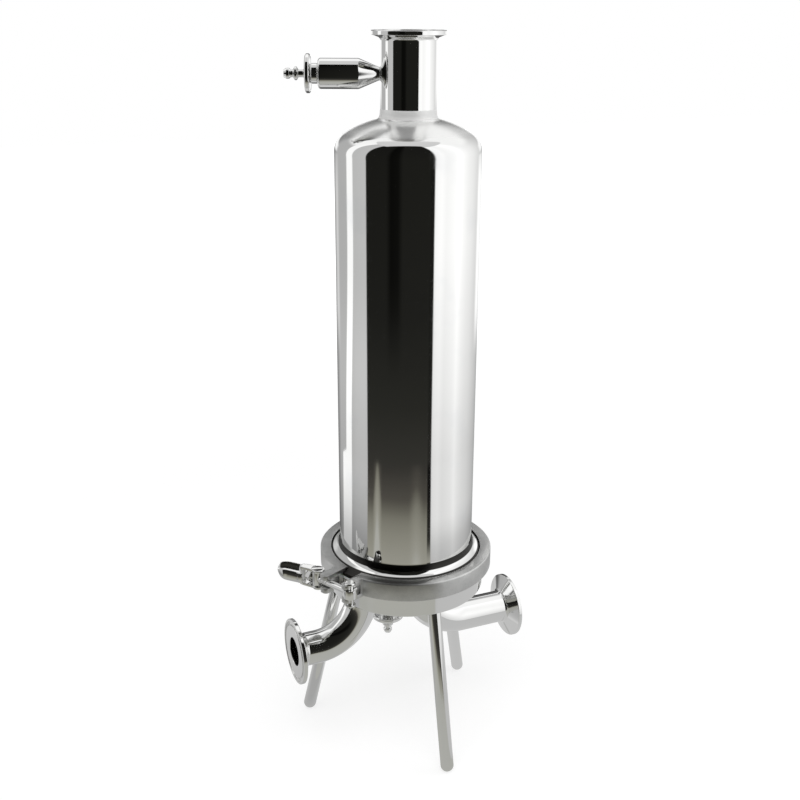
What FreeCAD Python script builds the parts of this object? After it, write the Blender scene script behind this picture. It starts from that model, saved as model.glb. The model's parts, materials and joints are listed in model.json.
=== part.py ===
import FreeCAD, Part
import math
import os
import re
import Sketcher
from FreeCAD import Placement, Rotation, Vector

# Sanitary cartridge filter housing. Millimetres, +Z up, origin on the floor under the shell's axis.
# The outlet points along +X, the inlet along -X.

doc = FreeCAD.newDocument("filter_housing")
sheet = doc.addObject("Spreadsheet::Sheet", "Sizes")

# Driving dimensions, one sheet row each
driving = {
    # heights, stacked from the floor up
    "leg_height": 126.0,
    "base_height": 22.5,
    "gasket_thickness": 2.0,
    "flange_height": 14.5,
    "barrel_length": 290.0,
    "dome_height": 25.4,
    "dome_collar_height": 29.0,
    "neck_length": 29.5,
    "top_ferrule_length": 21.5,
    # shell
    "shell_radius": 50.8,
    "shell_wall": 2.0,
    "neck_radius": 19.05,
    "neck_wall": 1.65,
    "dome_fillet": 4.5,
    # clamped rims of the shell flange and the base plate
    "rim_reach": 11.5,
    "rim_thickness": 2.85,
    "bevel_angle": 20.0,
    "flange_foot_fillet": 1.5,
    "groove_width": 3.2,
    "groove_depth": 1.2,
    "bead_clearance": 0.1,
    "gasket_margin": 0.3,
    # base plate
    "base_step": 2.8,
    "base_edge": 1.2,
    "waist_gap": 0.8,
    "waist_shoulder": 0.3,
    "base_floor": 8.0,
    "socket_wall": 1.9,
    "socket_floor": 5.0,
    "socket_rise": 7.5,
    # clamp
    "clamp_height": 14.1,
    "clamp_wall": 3.4,
    "clamp_lip_depth": 4.5,
    "clamp_edge": 0.8,
    "seat_gap": 0.3,
    "clamp_turn": -154.5,
    "lug_gap": 14.2,
    "lug_thickness": 7.5,
    "lug_length": 14.5,
    "lug_sink": 2.0,
    "lug_corner": 3.0,
    "slot_gap": 0.4,
    "hinge_offset": 6.6,
    "knuckle_radius": 6.0,
    "knuckle_height": 7.8,
    "knuckle_gap": 0.2,
    "web_offset": 1.2,
    "half_gap": 2.0,
    "trim_margin": 5.0,
    # eye bolt, cross barrel, nut and spoon lever
    "bolt_radius": 3.0,
    "bolt_offset": 9.5,
    "bolt_pin_offset": 12.7,
    "bolt_reach": 29.5,
    "eye_radius": 5.2,
    "eye_height": 7.0,
    "pin_radius": 2.5,
    "pin_head_radius": 3.9,
    "pin_head_height": 1.6,
    "pin_head_edge": 0.7,
    "pin_overhang": 2.2,
    "pin_fit": 0.05,
    "barrel_pin_offset": 20.9,
    "cross_barrel_radius": 4.0,
    "nut_width": 9.0,
    "nut_thickness": 4.4,
    "lever_height": 15.4,
    "lever_arm": 2.1,
    "cam_radius": 4.7,
    "cam_throw": 1.2,
    "lever_length": 34.0,
    "lever_turn": 17.7,
    "lever_root": 3.9,
    "lever_back": 2.9,
    "lever_neck_face": 2.5,
    "lever_face": 1.35,
    "lever_tip_back": 0.35,
    "lever_tip_face": 3.05,
    "lever_shoulder_station": 7.2,
    "lever_neck_station": 13.0,
    "lever_neck": 7.5,
    "lever_spoon_station": 19.0,
    "lever_wide_station": 24.4,
    "lever_round_station": 27.8,
    "lever_nose_station": 32.2,
    "lever_nose": 4.8,
    "lever_tip": 1.9,
    "lever_slot_radius": 11.6,
    "dish_radius": 34.0,
    "dish_depth": 1.3,
    # legs
    "leg_radius": 5.0,
    "leg_inset": 8.8,
    "leg_spread": 28.0,
    "foot_flat": 0.3,
    "leg_turn": -89.0,
    # one-inch ports
    "pipe_radius": 12.7,
    "pipe_wall": 1.65,
    "bend_radius": 38.1,
    "bend_stub": 6.5,
    "port_reach": 93.0,
    "inlet_offset": 37.0,
    "outlet_offset": 10.0,
    "outlet_ferrule_length": 21.5,
    "ferrule_radius": 25.25,
    "ferrule_rim": 2.85,
    "ferrule_fillet": 2.5,
    "ferrule_groove_radius": 21.8,
    "ferrule_groove_width": 3.0,
    "ferrule_groove_depth": 1.5,
    # vent and drain valves, stations along the valve from its weld
    "vent_drop": 6.4,
    "vent_turn": 156.5,
    "drain_x": -3.0,
    "drain_y": 29.0,
    "valve_cone_length": 14.5,
    "valve_cone_radius": 4.0,
    "valve_body_length": 27.2,
    "valve_body_radius": 10.0,
    "valve_body_edge": 1.8,
    "valve_port_radius": 2.0,
    "valve_seat_depth": 3.0,
    "valve_bore_radius": 4.3,
    "valve_thread_radius": 5.0,
    "valve_thread_length": 14.0,
    "thread_clearance": 0.1,
    "spindle_gap": 0.35,
    "collar_radius": 6.6,
    "collar_length": 4.4,
    "knob_radius": 12.8,
    "knob_thickness": 3.8,
    "knob_edge": 0.5,
    "knob_gap": 0.15,
    "knob_fit": 0.05,
    "spindle_neck_radius": 3.6,
    "spindle_bore_radius": 1.6,
    "barb_length": 14.2,
    "barb_root_radius": 2.5,
    "barb_bead_radius": 4.4,
    "barb_tip_radius": 3.5,
    "barb_slope": 1.15,
    "barb_bead_station": 4.25,
    "barb_bead_width": 1.4,
    "barb_tip_station": 9.35,
    "barb_tip_width": 1.7,
    "seal_cord": 1.0,
    "seal_fit": 0.05,
    "seal_clearance": 0.15,
    "gland_station": 4.0,
    "gland_width": 2.4,
    "way_station": 2.0,
    "cross_station": 2.8,
    # cartridge
    "spigot_radius": 22.0,
    "spigot_clearance": 0.25,
    "spigot_depth": 22.0,
    "spigot_wall": 3.0,
    "oring_cord": 1.7,
    "oring_gland_width": 3.74,
    "oring_spacing": 6.4,
    "cartridge_length": 254.0,
    "cartridge_radius": 34.5,
    "cartridge_cap": 10.0,
    "cage_wall": 1.8,
    "core_radius": 14.0,
    "core_wall": 1.8,
    "pleat_gap": 0.6,
    "pleat_thickness": 0.9,
    "pleat_count": 36.0,
    "fin_height": 34.0,
    "fin_reach": 18.0,
    "fin_thickness": 2.2,
    "fin_sink": 1.0,
}

for row, (name, value) in enumerate(driving.items(), start=1):
    sheet.set("A%d" % row, name)
    sheet.set("B%d" % row, repr(value))
    sheet.setAlias("B%d" % row, name)
doc.recompute()

# Worked-out heights and radii, written with the driving names
derived = {
    "base_top": "leg_height + base_height",
    "flange_bottom": "base_top + gasket_thickness",
    "closure_middle": "base_top + gasket_thickness / 2",
    "flange_weld": "flange_bottom + flange_height",
    "barrel_top": "flange_weld + barrel_length",
    "dome_weld": "barrel_top + dome_collar_height",
    "neck_top": "dome_weld + neck_length",
    "overall_top": "neck_top + top_ferrule_length",
    "shell_bore": "shell_radius - shell_wall",
    "neck_bore": "neck_radius - neck_wall",
    "pipe_bore": "pipe_radius - pipe_wall",
    "rim_radius": "shell_radius + rim_reach",
    "groove_radius": "(shell_bore + rim_radius) / 2",
    "rim_half": "gasket_thickness / 2 + rim_thickness",
    "bevel_slope": "tan(bevel_angle)",
    "clamp_bottom": "closure_middle - clamp_height / 2",
    "clamp_top": "closure_middle + clamp_height / 2",
    "channel_radius": "rim_radius + seat_gap",
    "clamp_radius": "channel_radius + clamp_wall",
    "clamp_lip_radius": "rim_radius - clamp_lip_depth",
    "waist_radius": "clamp_lip_radius - waist_gap",
    "base_radius": "waist_radius + base_step",
    "lug_root": "clamp_radius - lug_sink",
    "lug_reach": "clamp_radius + lug_length",
    "bolt_line": "clamp_radius + bolt_offset",
    "hinge_reach": "clamp_radius + hinge_offset",
    "channel_half": "rim_half + seat_gap - seat_gap * bevel_slope",
    "lip_half": "channel_half + (channel_radius - clamp_lip_radius) * bevel_slope",
    "sump_floor": "leg_height + base_floor",
    "socket_radius": "spigot_radius + spigot_clearance",
    "socket_top": "base_top + socket_rise",
    "leg_top_circle": "base_radius - leg_inset",
    "foot_circle": "leg_top_circle + leg_spread",
    "bend_height": "leg_height - bend_stub",
    "port_height": "bend_height - bend_radius",
    "vent_height": "neck_top - vent_drop",
    "valve_body_end": "valve_cone_length + valve_body_length",
    "collar_start": "valve_body_end + spindle_gap",
    "knob_start": "collar_start + collar_length + knob_gap",
    "barb_start": "knob_start + knob_thickness + knob_gap",
    "valve_length": "barb_start + barb_length",
    "cartridge_foot": "socket_top + seat_gap",
    "cartridge_top": "cartridge_foot + cartridge_length",
}


def formula(text):
    """Expand the worked-out names and point every driving name at the sheet."""
    def swap(match):
        word = match.group(0)
        if word in derived:
            return "(" + formula(derived[word]) + ")"
        if word in driving:
            return "Sizes." + word
        return word
    return re.sub(r"[a-z_]+", swap, text)


def size(text):
    return float(sheet.evalExpression(formula(text)))


def bind(item, **sizes):
    for name, text in sizes.items():
        item.setExpression(name, formula(text))


def origin_plane(body, role):
    return [part for part in body.Origin.OriginFeatures if part.Role == role][0]


def outline_sketch(body, role, name, corners):
    """A closed outline of straight lines, each corner held by two sheet-bound distances."""
    sketch = body.newObject("Sketcher::SketchObject", name)
    sketch.AttachmentSupport = (origin_plane(body, role), [""])
    sketch.MapMode = "FlatFace"
    points = [Vector(size(across), size(up), 0) for across, up in corners]
    for index, point in enumerate(points):
        following = points[(index + 1) % len(points)]
        sketch.addGeometry(Part.LineSegment(point, following), False)
    for index in range(len(points)):
        following = (index + 1) % len(points)
        sketch.addConstraint(Sketcher.Constraint("Coincident", index, 2, following, 1))
    for index, (corner, point) in enumerate(zip(corners, points)):
        for kind, text, value in (("DistanceX", corner[0], point.x), ("DistanceY", corner[1], point.y)):
            number = sketch.addConstraint(Sketcher.Constraint(kind, -1, 1, index, 1, value))
            sketch.setExpression("Constraints[%d]" % number, formula(text))
    return sketch


def turned(name, corners, angle=360.0):
    """A turned piece: (radius, height) corners spun about the piece's own Z axis."""
    body = doc.addObject("PartDesign::Body", name)
    sketch = outline_sketch(body, "XZ_Plane", name + "_outline", corners)
    spin = body.newObject("PartDesign::Revolution", name + "_spin")
    spin.Profile = sketch
    spin.ReferenceAxis = (sketch, ["V_Axis"])
    spin.Angle = angle
    body.Tip = spin
    doc.recompute()
    return body


def rounded(body, spots, radius):
    """Fillet the circular edges that lie at the given (radius, height) spots of a turned body."""
    before = body.Tip
    names = []
    for number, edge in enumerate(before.Shape.Edges, start=1):
        curve = edge.Curve
        if not isinstance(curve, Part.Circle):
            continue
        for across, up in spots:
            if abs(curve.Radius - size(across)) < 1e-4 and abs(curve.Center.z - size(up)) < 1e-4:
                names.append("Edge%d" % number)
    fillet = body.newObject("PartDesign::Fillet", body.Name + "_round")
    fillet.Base = (before, names)
    fillet.setExpression("Radius", formula(radius))
    body.Tip = fillet
    doc.recompute()
    return body


def cylinder(name, radius, length, place=None):
    item = doc.addObject("Part::Cylinder", name)
    bind(item, Radius=radius, Height=length)
    item.Placement = place or Placement()
    return item


def block(name, low, spans):
    """A box from its low corner and its three spans, all given as formulas."""
    item = doc.addObject("Part::Box", name)
    bind(item, Length=spans[0], Width=spans[1], Height=spans[2])
    item.Placement = at(*low)
    return item


def at(across="0", along="0", up="0", turn=None):
    place = Vector(size(across), size(along), size(up))
    return Placement(place, turn or Rotation())


def joined(name, pieces):
    item = doc.addObject("Part::MultiFuse", name)
    item.Shapes = pieces
    return item


def cut(name, base, tool):
    item = doc.addObject("Part::Cut", name)
    item.Base = base
    item.Tool = tool
    return item


def shared(name, pieces):
    item = doc.addObject("Part::MultiCommon", name)
    item.Shapes = pieces
    return item


def scripted(name, shape):
    item = doc.addObject("Part::Feature", name)
    item.Shape = shape
    return item


def about_z(degrees):
    return Rotation(Vector(0, 0, 1), degrees)


finished = []


def finish(item, place=None):
    """Label the piece, place it, and put it on the list of pieces to write."""
    item.Label = item.Name
    if place is not None:
        item.Placement = place
    finished.append(item)
    return item


def build_shell():
    finish(turned("barrel_tube", [
        ("shell_bore", "flange_weld"), ("shell_radius", "flange_weld"),
        ("shell_radius", "barrel_top"), ("shell_bore", "barrel_top")]))

    # domed head: outer and inner half ellipses with the neck drawn up out of them
    def head(radius, rise, neck, corner):
        flat = size("barrel_top")
        ellipse = Part.Ellipse(Vector(radius, 0, flat), Vector(0, 0, flat + rise), Vector(0, 0, flat))
        quarter = ellipse.toShape(*sorted((ellipse.parameter(Vector(radius, 0, flat)),
                                           ellipse.parameter(Vector(0, 0, flat + rise)))))
        ends = sorted((vertex.Point for vertex in quarter.Vertexes), key=lambda point: point.z)
        lines = [Part.makeLine(ends[1], Vector(0, 0, flat)), Part.makeLine(Vector(0, 0, flat), ends[0])]
        dome = Part.Face(Part.Wire(Part.__sortEdges__([quarter] + lines)))
        dome = dome.revolve(Vector(0, 0, 0), Vector(0, 0, 1), 360)
        collar = Part.makeCylinder(neck, size("dome_weld") - flat, Vector(0, 0, flat))
        both = dome.fuse(collar).removeSplitter()
        height = flat + rise * math.sqrt(1 - (neck / radius) ** 2)
        seam = [edge for edge in both.Edges
                if edge.BoundBox.ZLength < 0.01 and abs(edge.BoundBox.ZMin - height) < 0.01]
        return both.makeFillet(corner, seam)

    outer = head(size("shell_radius"), size("dome_height"), size("neck_radius"), size("dome_fillet"))
    inner = head(size("shell_bore"), size("dome_height - shell_wall"), size("neck_bore"),
                 size("dome_fillet + neck_wall"))
    finish(scripted("dome_head", outer.cut(inner)))

    tube = turned("neck_tube_wall", [
        ("neck_bore", "dome_weld"), ("neck_radius", "dome_weld"),
        ("neck_radius", "neck_top"), ("neck_bore", "neck_top")])
    port = cylinder("vent_port", "valve_port_radius", "neck_radius + neck_wall",
                    Placement(Vector(0, 0, size("vent_height")), vent_rotation()))
    finish(cut("neck_tube", tube, port))

    # shell flange: clamped rim, bevel up to the barrel, gasket groove below
    flange = turned("shell_flange", [
        ("shell_bore", "flange_bottom"),
        ("groove_radius - groove_width / 2", "flange_bottom"),
        ("groove_radius - groove_width / 2", "flange_bottom + groove_depth"),
        ("groove_radius + groove_width / 2", "flange_bottom + groove_depth"),
        ("groove_radius + groove_width / 2", "flange_bottom"),
        ("rim_radius", "flange_bottom"),
        ("rim_radius", "flange_bottom + rim_thickness"),
        ("shell_radius", "flange_bottom + rim_thickness + (rim_radius - shell_radius) * bevel_slope"),
        ("shell_radius", "flange_weld"),
        ("shell_bore", "flange_weld")])
    rounded(flange, [("shell_radius", "flange_bottom + rim_thickness + (rim_radius - shell_radius)"
                      " * bevel_slope")], "flange_foot_fillet")
    finish(flange)

    half = "groove_width / 2 - bead_clearance"
    depth = "(groove_depth - bead_clearance)"
    finish(turned("body_gasket", [
        ("shell_bore", "base_top"),
        ("groove_radius - (%s)" % half, "base_top"),
        ("groove_radius - (%s)" % half, "base_top - %s" % depth),
        ("groove_radius + %s" % half, "base_top - %s" % depth),
        ("groove_radius + %s" % half, "base_top"),
        ("rim_radius - gasket_margin", "base_top"),
        ("rim_radius - gasket_margin", "flange_bottom"),
        ("groove_radius + %s" % half, "flange_bottom"),
        ("groove_radius + %s" % half, "flange_bottom + %s" % depth),
        ("groove_radius - (%s)" % half, "flange_bottom + %s" % depth),
        ("groove_radius - (%s)" % half, "flange_bottom"),
        ("shell_bore", "flange_bottom")]))


def build_base():
    plate = turned("base_plate_blank", [
        ("0", "leg_height"),
        ("base_radius - base_edge", "leg_height"),
        ("base_radius", "leg_height + base_edge"),
        ("base_radius", "clamp_bottom - waist_shoulder"),
        ("waist_radius", "clamp_bottom - waist_shoulder"),
        ("waist_radius", "base_top - rim_thickness - (rim_radius - waist_radius) * bevel_slope"),
        ("rim_radius", "base_top - rim_thickness"),
        ("rim_radius", "base_top"),
        ("groove_radius + groove_width / 2", "base_top"),
        ("groove_radius + groove_width / 2", "base_top - groove_depth"),
        ("groove_radius - groove_width / 2", "base_top - groove_depth"),
        ("groove_radius - groove_width / 2", "base_top"),
        ("shell_bore", "base_top"),
        ("shell_bore", "sump_floor"),
        ("socket_radius + socket_wall", "sump_floor"),
        ("socket_radius + socket_wall", "socket_top"),
        ("socket_radius", "socket_top"),
        ("socket_radius", "leg_height + socket_floor"),
        ("0", "leg_height + socket_floor")])
    holes = joined("base_holes", [
        cylinder("inlet_hole", "pipe_bore", "2 * base_floor",
                 at("-inlet_offset", "0", "leg_height - base_floor / 2")),
        cylinder("outlet_hole", "pipe_bore", "2 * socket_floor",
                 at("outlet_offset", "0", "leg_height - socket_floor / 2")),
        cylinder("drain_hole", "valve_port_radius", "2 * base_floor",
                 at("drain_x", "drain_y", "leg_height - base_floor / 2"))])
    finish(cut("base_plate", plate, holes))

    # three legs leaning outwards, cut level with the plate's underside and flat at the floor
    lean = math.degrees(math.atan2(size("foot_circle - leg_top_circle"), size("leg_height")))
    sink = size("leg_radius - foot_flat")
    for index, name in enumerate(("leg_front", "leg_right", "leg_left")):
        turn = about_z(size("leg_turn") + 120 * index)
        foot = turn.multVec(Vector(size("foot_circle"), 0, sink))
        place = Placement(foot, turn.multiply(Rotation(Vector(0, 1, 0), -lean)))
        rod = cylinder(name + "_rod", "leg_radius", "leg_height + 2 * leg_radius", place)
        end = doc.addObject("Part::Sphere", name + "_end")
        bind(end, Radius="leg_radius")
        end.Placement = Placement(foot, Rotation())
        room = block(name + "_room", ("-2 * foot_circle", "-2 * foot_circle", "0"),
                     ("4 * foot_circle", "4 * foot_circle", "leg_height"))
        finish(shared(name, [joined(name + "_blank", [rod, end]), room]))


def ferrule(name, tube, bore, length):
    """A clamp ferrule, weld end at its own origin and face at the top."""
    rise = "(ferrule_radius - %s) * bevel_slope" % tube
    body = turned(name, [
        (bore, "0"),
        (tube, "0"),
        (tube, "%s - ferrule_rim - %s" % (length, rise)),
        ("ferrule_radius", "%s - ferrule_rim" % length),
        ("ferrule_radius", length),
        ("ferrule_groove_radius + ferrule_groove_width / 2", length),
        ("ferrule_groove_radius + ferrule_groove_width / 2", "%s - ferrule_groove_depth" % length),
        ("ferrule_groove_radius - ferrule_groove_width / 2", "%s - ferrule_groove_depth" % length),
        ("ferrule_groove_radius - ferrule_groove_width / 2", length),
        (bore, length)])
    return rounded(body, [(tube, "%s - ferrule_rim - %s" % (length, rise))], "ferrule_fillet")


def elbow(name, offset, side):
    """A quarter bend from the plate's underside down and out, side -1 for the inlet and 1 for the outlet."""
    turn = about_z(0 if side < 0 else 180).multiply(Rotation(Vector(1, 0, 0), -90))
    centre = Vector(side * (offset + size("bend_radius")), 0, size("bend_height"))
    top = Vector(side * offset, 0, size("bend_height"))
    layers = []
    for layer, radius in (("wall", "pipe_radius"), ("bore", "pipe_bore")):
        bend = doc.addObject("Part::Torus", "%s_%s_bend" % (name, layer))
        bind(bend, Radius1="bend_radius", Radius2=radius)
        bend.Angle3 = 90
        bend.Placement = Placement(centre, turn)
        stub = cylinder("%s_%s_stub" % (name, layer), radius, "leg_height - bend_height",
                        Placement(top, Rotation()))
        layers.append(joined("%s_%s" % (name, layer), [bend, stub]))
    return finish(cut(name, layers[0], layers[1]))


def build_ports():
    outward = {-1: Rotation(Vector(0, 1, 0), -90), 1: Rotation(Vector(0, 1, 0), 90)}
    port = size("port_height")
    elbow("inlet_elbow", size("inlet_offset"), -1)
    elbow("outlet_elbow", size("outlet_offset"), 1)

    weld = size("inlet_offset + bend_radius")
    finish(ferrule("inlet_ferrule", "pipe_radius", "pipe_bore", "(port_reach - inlet_offset - bend_radius)"),
           Placement(Vector(-weld, 0, port), outward[-1]))

    start = size("outlet_offset + bend_radius")
    length = "port_reach - outlet_ferrule_length - outlet_offset - bend_radius"
    finish(turned("outlet_pipe", [
        ("pipe_bore", "0"), ("pipe_radius", "0"), ("pipe_radius", length), ("pipe_bore", length)]),
        Placement(Vector(start, 0, port), outward[1]))
    finish(ferrule("outlet_ferrule", "pipe_radius", "pipe_bore", "outlet_ferrule_length"),
           Placement(Vector(start + size(length), 0, port), outward[1]))
    finish(ferrule("top_ferrule", "neck_radius", "neck_bore", "top_ferrule_length"),
           at("0", "0", "neck_top"))


def vent_rotation():
    return about_z(size("vent_turn")).multiply(Rotation(Vector(0, 1, 0), 90))


def valve(prefix, place, saddle):
    """A needle valve with a hose barb. Its own Z axis runs outwards from the weld."""
    seat = "valve_cone_length"
    thread = "(valve_body_end - valve_thread_length)"
    blank = turned(prefix + "_body_blank", [
        ("valve_port_radius", "-neck_wall / 2"),
        ("valve_cone_radius", "-neck_wall / 2"),
        ("valve_cone_radius", "0"),
        ("valve_body_radius", "valve_cone_length"),
        ("valve_body_radius", "valve_body_end"),
        ("valve_thread_radius + thread_clearance", "valve_body_end"),
        ("valve_thread_radius + thread_clearance", thread),
        ("valve_bore_radius", thread),
        ("valve_bore_radius", seat),
        ("valve_port_radius", "%s - valve_seat_depth" % seat)])
    rounded(blank, [("valve_body_radius", "valve_body_end")], "valve_body_edge")
    blank.Placement = place
    finish(cut(prefix + "_valve_body", blank, saddle))

    # hollow spindle: cone tip on the seat, seal groove, thread, collar, neck for the knob, hose barb
    rod = "(valve_bore_radius - seal_clearance)"
    groove = "(%s + gland_station)" % seat
    tip = "(%s - valve_seat_depth + spindle_gap)" % seat
    bead = "barb_start + barb_bead_station"
    spindle = turned(prefix + "_spindle_blank", [
        ("0", tip),
        ("valve_port_radius", tip),
        (rod, "%s + spindle_gap" % seat),
        (rod, groove),
        ("%s - 2 * seal_cord" % rod, groove),
        ("%s - 2 * seal_cord" % rod, "%s + gland_width" % groove),
        (rod, "%s + gland_width" % groove),
        (rod, "%s + spindle_gap" % thread),
        ("valve_thread_radius", "%s + spindle_gap" % thread),
        ("valve_thread_radius", "collar_start"),
        ("collar_radius", "collar_start"),
        ("collar_radius", "collar_start + collar_length"),
        ("spindle_neck_radius", "collar_start + collar_length"),
        ("spindle_neck_radius", "barb_start"),
        ("barb_root_radius", "barb_start + barb_slope"),
        ("barb_root_radius", bead),
        ("barb_bead_radius", "%s + barb_slope" % bead),
        ("barb_bead_radius", "%s + barb_slope + barb_bead_width" % bead),
        ("barb_root_radius", "%s + 2 * barb_slope + barb_bead_width" % bead),
        ("barb_root_radius", "barb_start + barb_tip_station"),
        ("barb_tip_radius", "barb_start + barb_tip_station + barb_slope"),
        ("barb_tip_radius", "barb_start + barb_tip_station + barb_slope + barb_tip_width"),
        ("barb_root_radius", "valve_length"),
        ("0", "valve_length")])
    bore = cylinder(prefix + "_spindle_bore", "spindle_bore_radius", "valve_length - %s" % seat,
                    at("0", "0", "%s + way_station" % seat))
    cross = cylinder(prefix + "_spindle_cross", "spindle_bore_radius / 2", "4 * valve_bore_radius",
                     at("0", "2 * valve_bore_radius", "%s + cross_station" % seat,
                        Rotation(Vector(1, 0, 0), 90)))
    ways = joined(prefix + "_spindle_ways", [bore, cross])
    finish(cut(prefix + "_spindle", spindle, ways), place)

    middle = size("%s + gland_width / 2" % groove)
    ring = Part.makeTorus(size("%s - seal_cord" % rod), size("seal_cord - seal_fit"), Vector(0, 0, middle))
    finish(scripted(prefix + "_seal", ring), place)

    knob = turned(prefix + "_knob", [
        ("spindle_neck_radius + knob_fit", "knob_start"),
        ("knob_radius - knob_edge", "knob_start"),
        ("knob_radius", "knob_start + knob_edge"),
        ("knob_radius", "knob_start + knob_thickness - knob_edge"),
        ("knob_radius - knob_edge", "knob_start + knob_thickness"),
        ("spindle_neck_radius + knob_fit", "knob_start + knob_thickness")])
    finish(knob, place)


def build_valves():
    vent_weld = vent_rotation().multVec(Vector(0, 0, size("neck_radius")))
    vent_weld.z = size("vent_height")
    saddle = cylinder("vent_saddle", "neck_radius", "overall_top")
    valve("vent", Placement(vent_weld, vent_rotation()), saddle)
    underside = block("drain_saddle", ("-shell_radius", "-shell_radius", "leg_height"),
                      ("2 * shell_radius", "2 * shell_radius", "base_height"))
    valve("drain", at("drain_x", "drain_y", "leg_height", Rotation(Vector(1, 0, 0), 180)), underside)


def clamp_place():
    return Placement(Vector(0, 0, 0), about_z(size("clamp_turn")))


def half_ring(name):
    """Half of the clamp's V channel, before its ends are trimmed."""
    return turned(name, [
        ("clamp_radius - clamp_edge", "clamp_bottom"),
        ("clamp_radius", "clamp_bottom + clamp_edge"),
        ("clamp_radius", "clamp_top - clamp_edge"),
        ("clamp_radius - clamp_edge", "clamp_top"),
        ("clamp_lip_radius", "clamp_top"),
        ("clamp_lip_radius", "closure_middle + lip_half"),
        ("channel_radius", "closure_middle + channel_half"),
        ("channel_radius", "closure_middle - channel_half"),
        ("clamp_lip_radius", "closure_middle - lip_half"),
        ("clamp_lip_radius", "clamp_bottom")], 180.0)


def clamp_half(name, side):
    """One half of the clamp in the latch's frame: +X out through the latch, side 1 lies towards +Y."""
    ring = half_ring(name + "_ring")
    if ring.Shape.BoundBox.Center.y * side < 0:
        ring.Placement = Placement(Vector(0, 0, 0), about_z(180))
    gap = "lug_gap / 2"
    low_y = gap if side > 0 else "-%s - lug_thickness" % gap
    square = block(name + "_lug_square", ("lug_root", low_y, "clamp_bottom"),
                   ("lug_reach - lug_root", "lug_thickness", "clamp_height"))
    doc.recompute()
    lug = doc.addObject("Part::Fillet", name + "_lug")
    lug.Base = square
    lug.Edges = [(number, size("lug_corner"), size("lug_corner"))
                 for number, edge in enumerate(square.Shape.Edges, start=1)
                 if edge.BoundBox.XLength < 1e-6 and edge.BoundBox.YLength < 1e-6
                 and abs(edge.BoundBox.XMin - size("lug_reach")) < 1e-6]

    # hinge knuckles at the back: one in the middle on this side, two outer ones on the other
    pitch = size("knuckle_height + knuckle_gap")
    start = size("closure_middle - knuckle_height / 2")
    outer = "(clamp_height - knuckle_height) / 2 - knuckle_gap"
    if side > 0:
        levels = [(size("closure_middle - knuckle_height / 2"), "knuckle_height")]
    else:
        levels = [(size("clamp_bottom"), outer), (start + pitch, outer)]
    pieces = [ring, lug]
    for index, (level, tall) in enumerate(levels):
        knuckle = cylinder("%s_knuckle_%d" % (name, index), "knuckle_radius", tall,
                           Placement(Vector(-size("hinge_reach"), 0, level), Rotation()))
        low = "web_offset" if side > 0 else "-knuckle_radius"
        web = block("%s_web_%d" % (name, index), ("-hinge_reach", low, "0"),
                    ("hinge_reach - lug_root", "knuckle_radius - web_offset", tall))
        web.Placement.Base.z = level
        pieces += [knuckle, web]
    whole = joined(name + "_whole", pieces)

    # trims: the latch gap, the parting line at the hinge, the pin holes and the bolt slot
    wide = "2 * clamp_radius"
    front = block(name + "_front_trim", ("0", "-lug_gap / 2", "clamp_bottom - trim_margin"),
                  (wide, "lug_gap", "clamp_height + 2 * trim_margin"))
    tools = [front]
    back = block(name + "_back_trim", ("-clamp_radius - seat_gap", "-half_gap / 2", "clamp_bottom - trim_margin"),
                 ("clamp_radius - lug_gap", "half_gap", "clamp_height + 2 * trim_margin"))
    hole = cylinder(name + "_hinge_hole", "pin_radius + pin_fit", "clamp_height + 2 * trim_margin",
                    at("-hinge_reach", "0", "clamp_bottom - trim_margin"))
    slot_half = "(bolt_radius + slot_gap)" if side < 0 else "(eye_height / 2 + slot_gap)"
    slot = block(name + "_slot", ("clamp_radius + slot_gap", "-lug_reach", "closure_middle - %s" % slot_half),
                 ("lug_reach", "2 * lug_reach", "2 * %s" % slot_half))
    tools += [hole, slot]
    trimmed = cut(name + "_trimmed", whole, joined(name + "_tools", tools))
    if side > 0:
        bolt_hole = cylinder(name + "_bolt_hole", "pin_radius + pin_fit", "clamp_height + 2 * trim_margin",
                             at("bolt_line", "bolt_pin_offset", "clamp_bottom - trim_margin"))
        return cut(name, trimmed, joined(name + "_more_tools", [bolt_hole, back]))
    # the bolt's cross barrel swings past this lug, so its back is round about the bolt's pin
    path = cylinder(name + "_swing_blank", "2 * lug_reach", "clamp_height + 2 * trim_margin",
                    at("bolt_line", "bolt_pin_offset", "clamp_bottom - trim_margin"))
    keep = cylinder(name + "_swing_keep", "bolt_pin_offset + lug_gap / 2 + lug_thickness",
                    "clamp_height + 2 * trim_margin", at("bolt_line", "bolt_pin_offset", "clamp_bottom - trim_margin"))
    outside = cut(name + "_swing_ring", path, keep)
    near = block(name + "_swing_near", ("clamp_radius + slot_gap", "-lug_reach", "clamp_bottom - trim_margin"),
                 ("lug_reach", "lug_reach", "clamp_height + 2 * trim_margin"))
    swing = shared(name + "_swing", [outside, near])
    return cut(name, trimmed, joined(name + "_more_tools", [back, swing]))


def headed_pin(name, across, along, low, tall):
    """A plain pin with a low round head at each end."""
    body = turned(name, [
        ("0", "-pin_head_height"),
        ("pin_head_radius - pin_head_edge", "-pin_head_height"),
        ("pin_head_radius", "pin_head_edge - pin_head_height"),
        ("pin_head_radius", "0"),
        ("pin_radius", "0"),
        ("pin_radius", tall),
        ("pin_head_radius", tall),
        ("pin_head_radius", "%s + pin_head_height - pin_head_edge" % tall),
        ("pin_head_radius - pin_head_edge", "%s + pin_head_height" % tall),
        ("0", "%s + pin_head_height" % tall)])
    return finish(body, clamp_place().multiply(at(across, along, low)))


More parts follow.
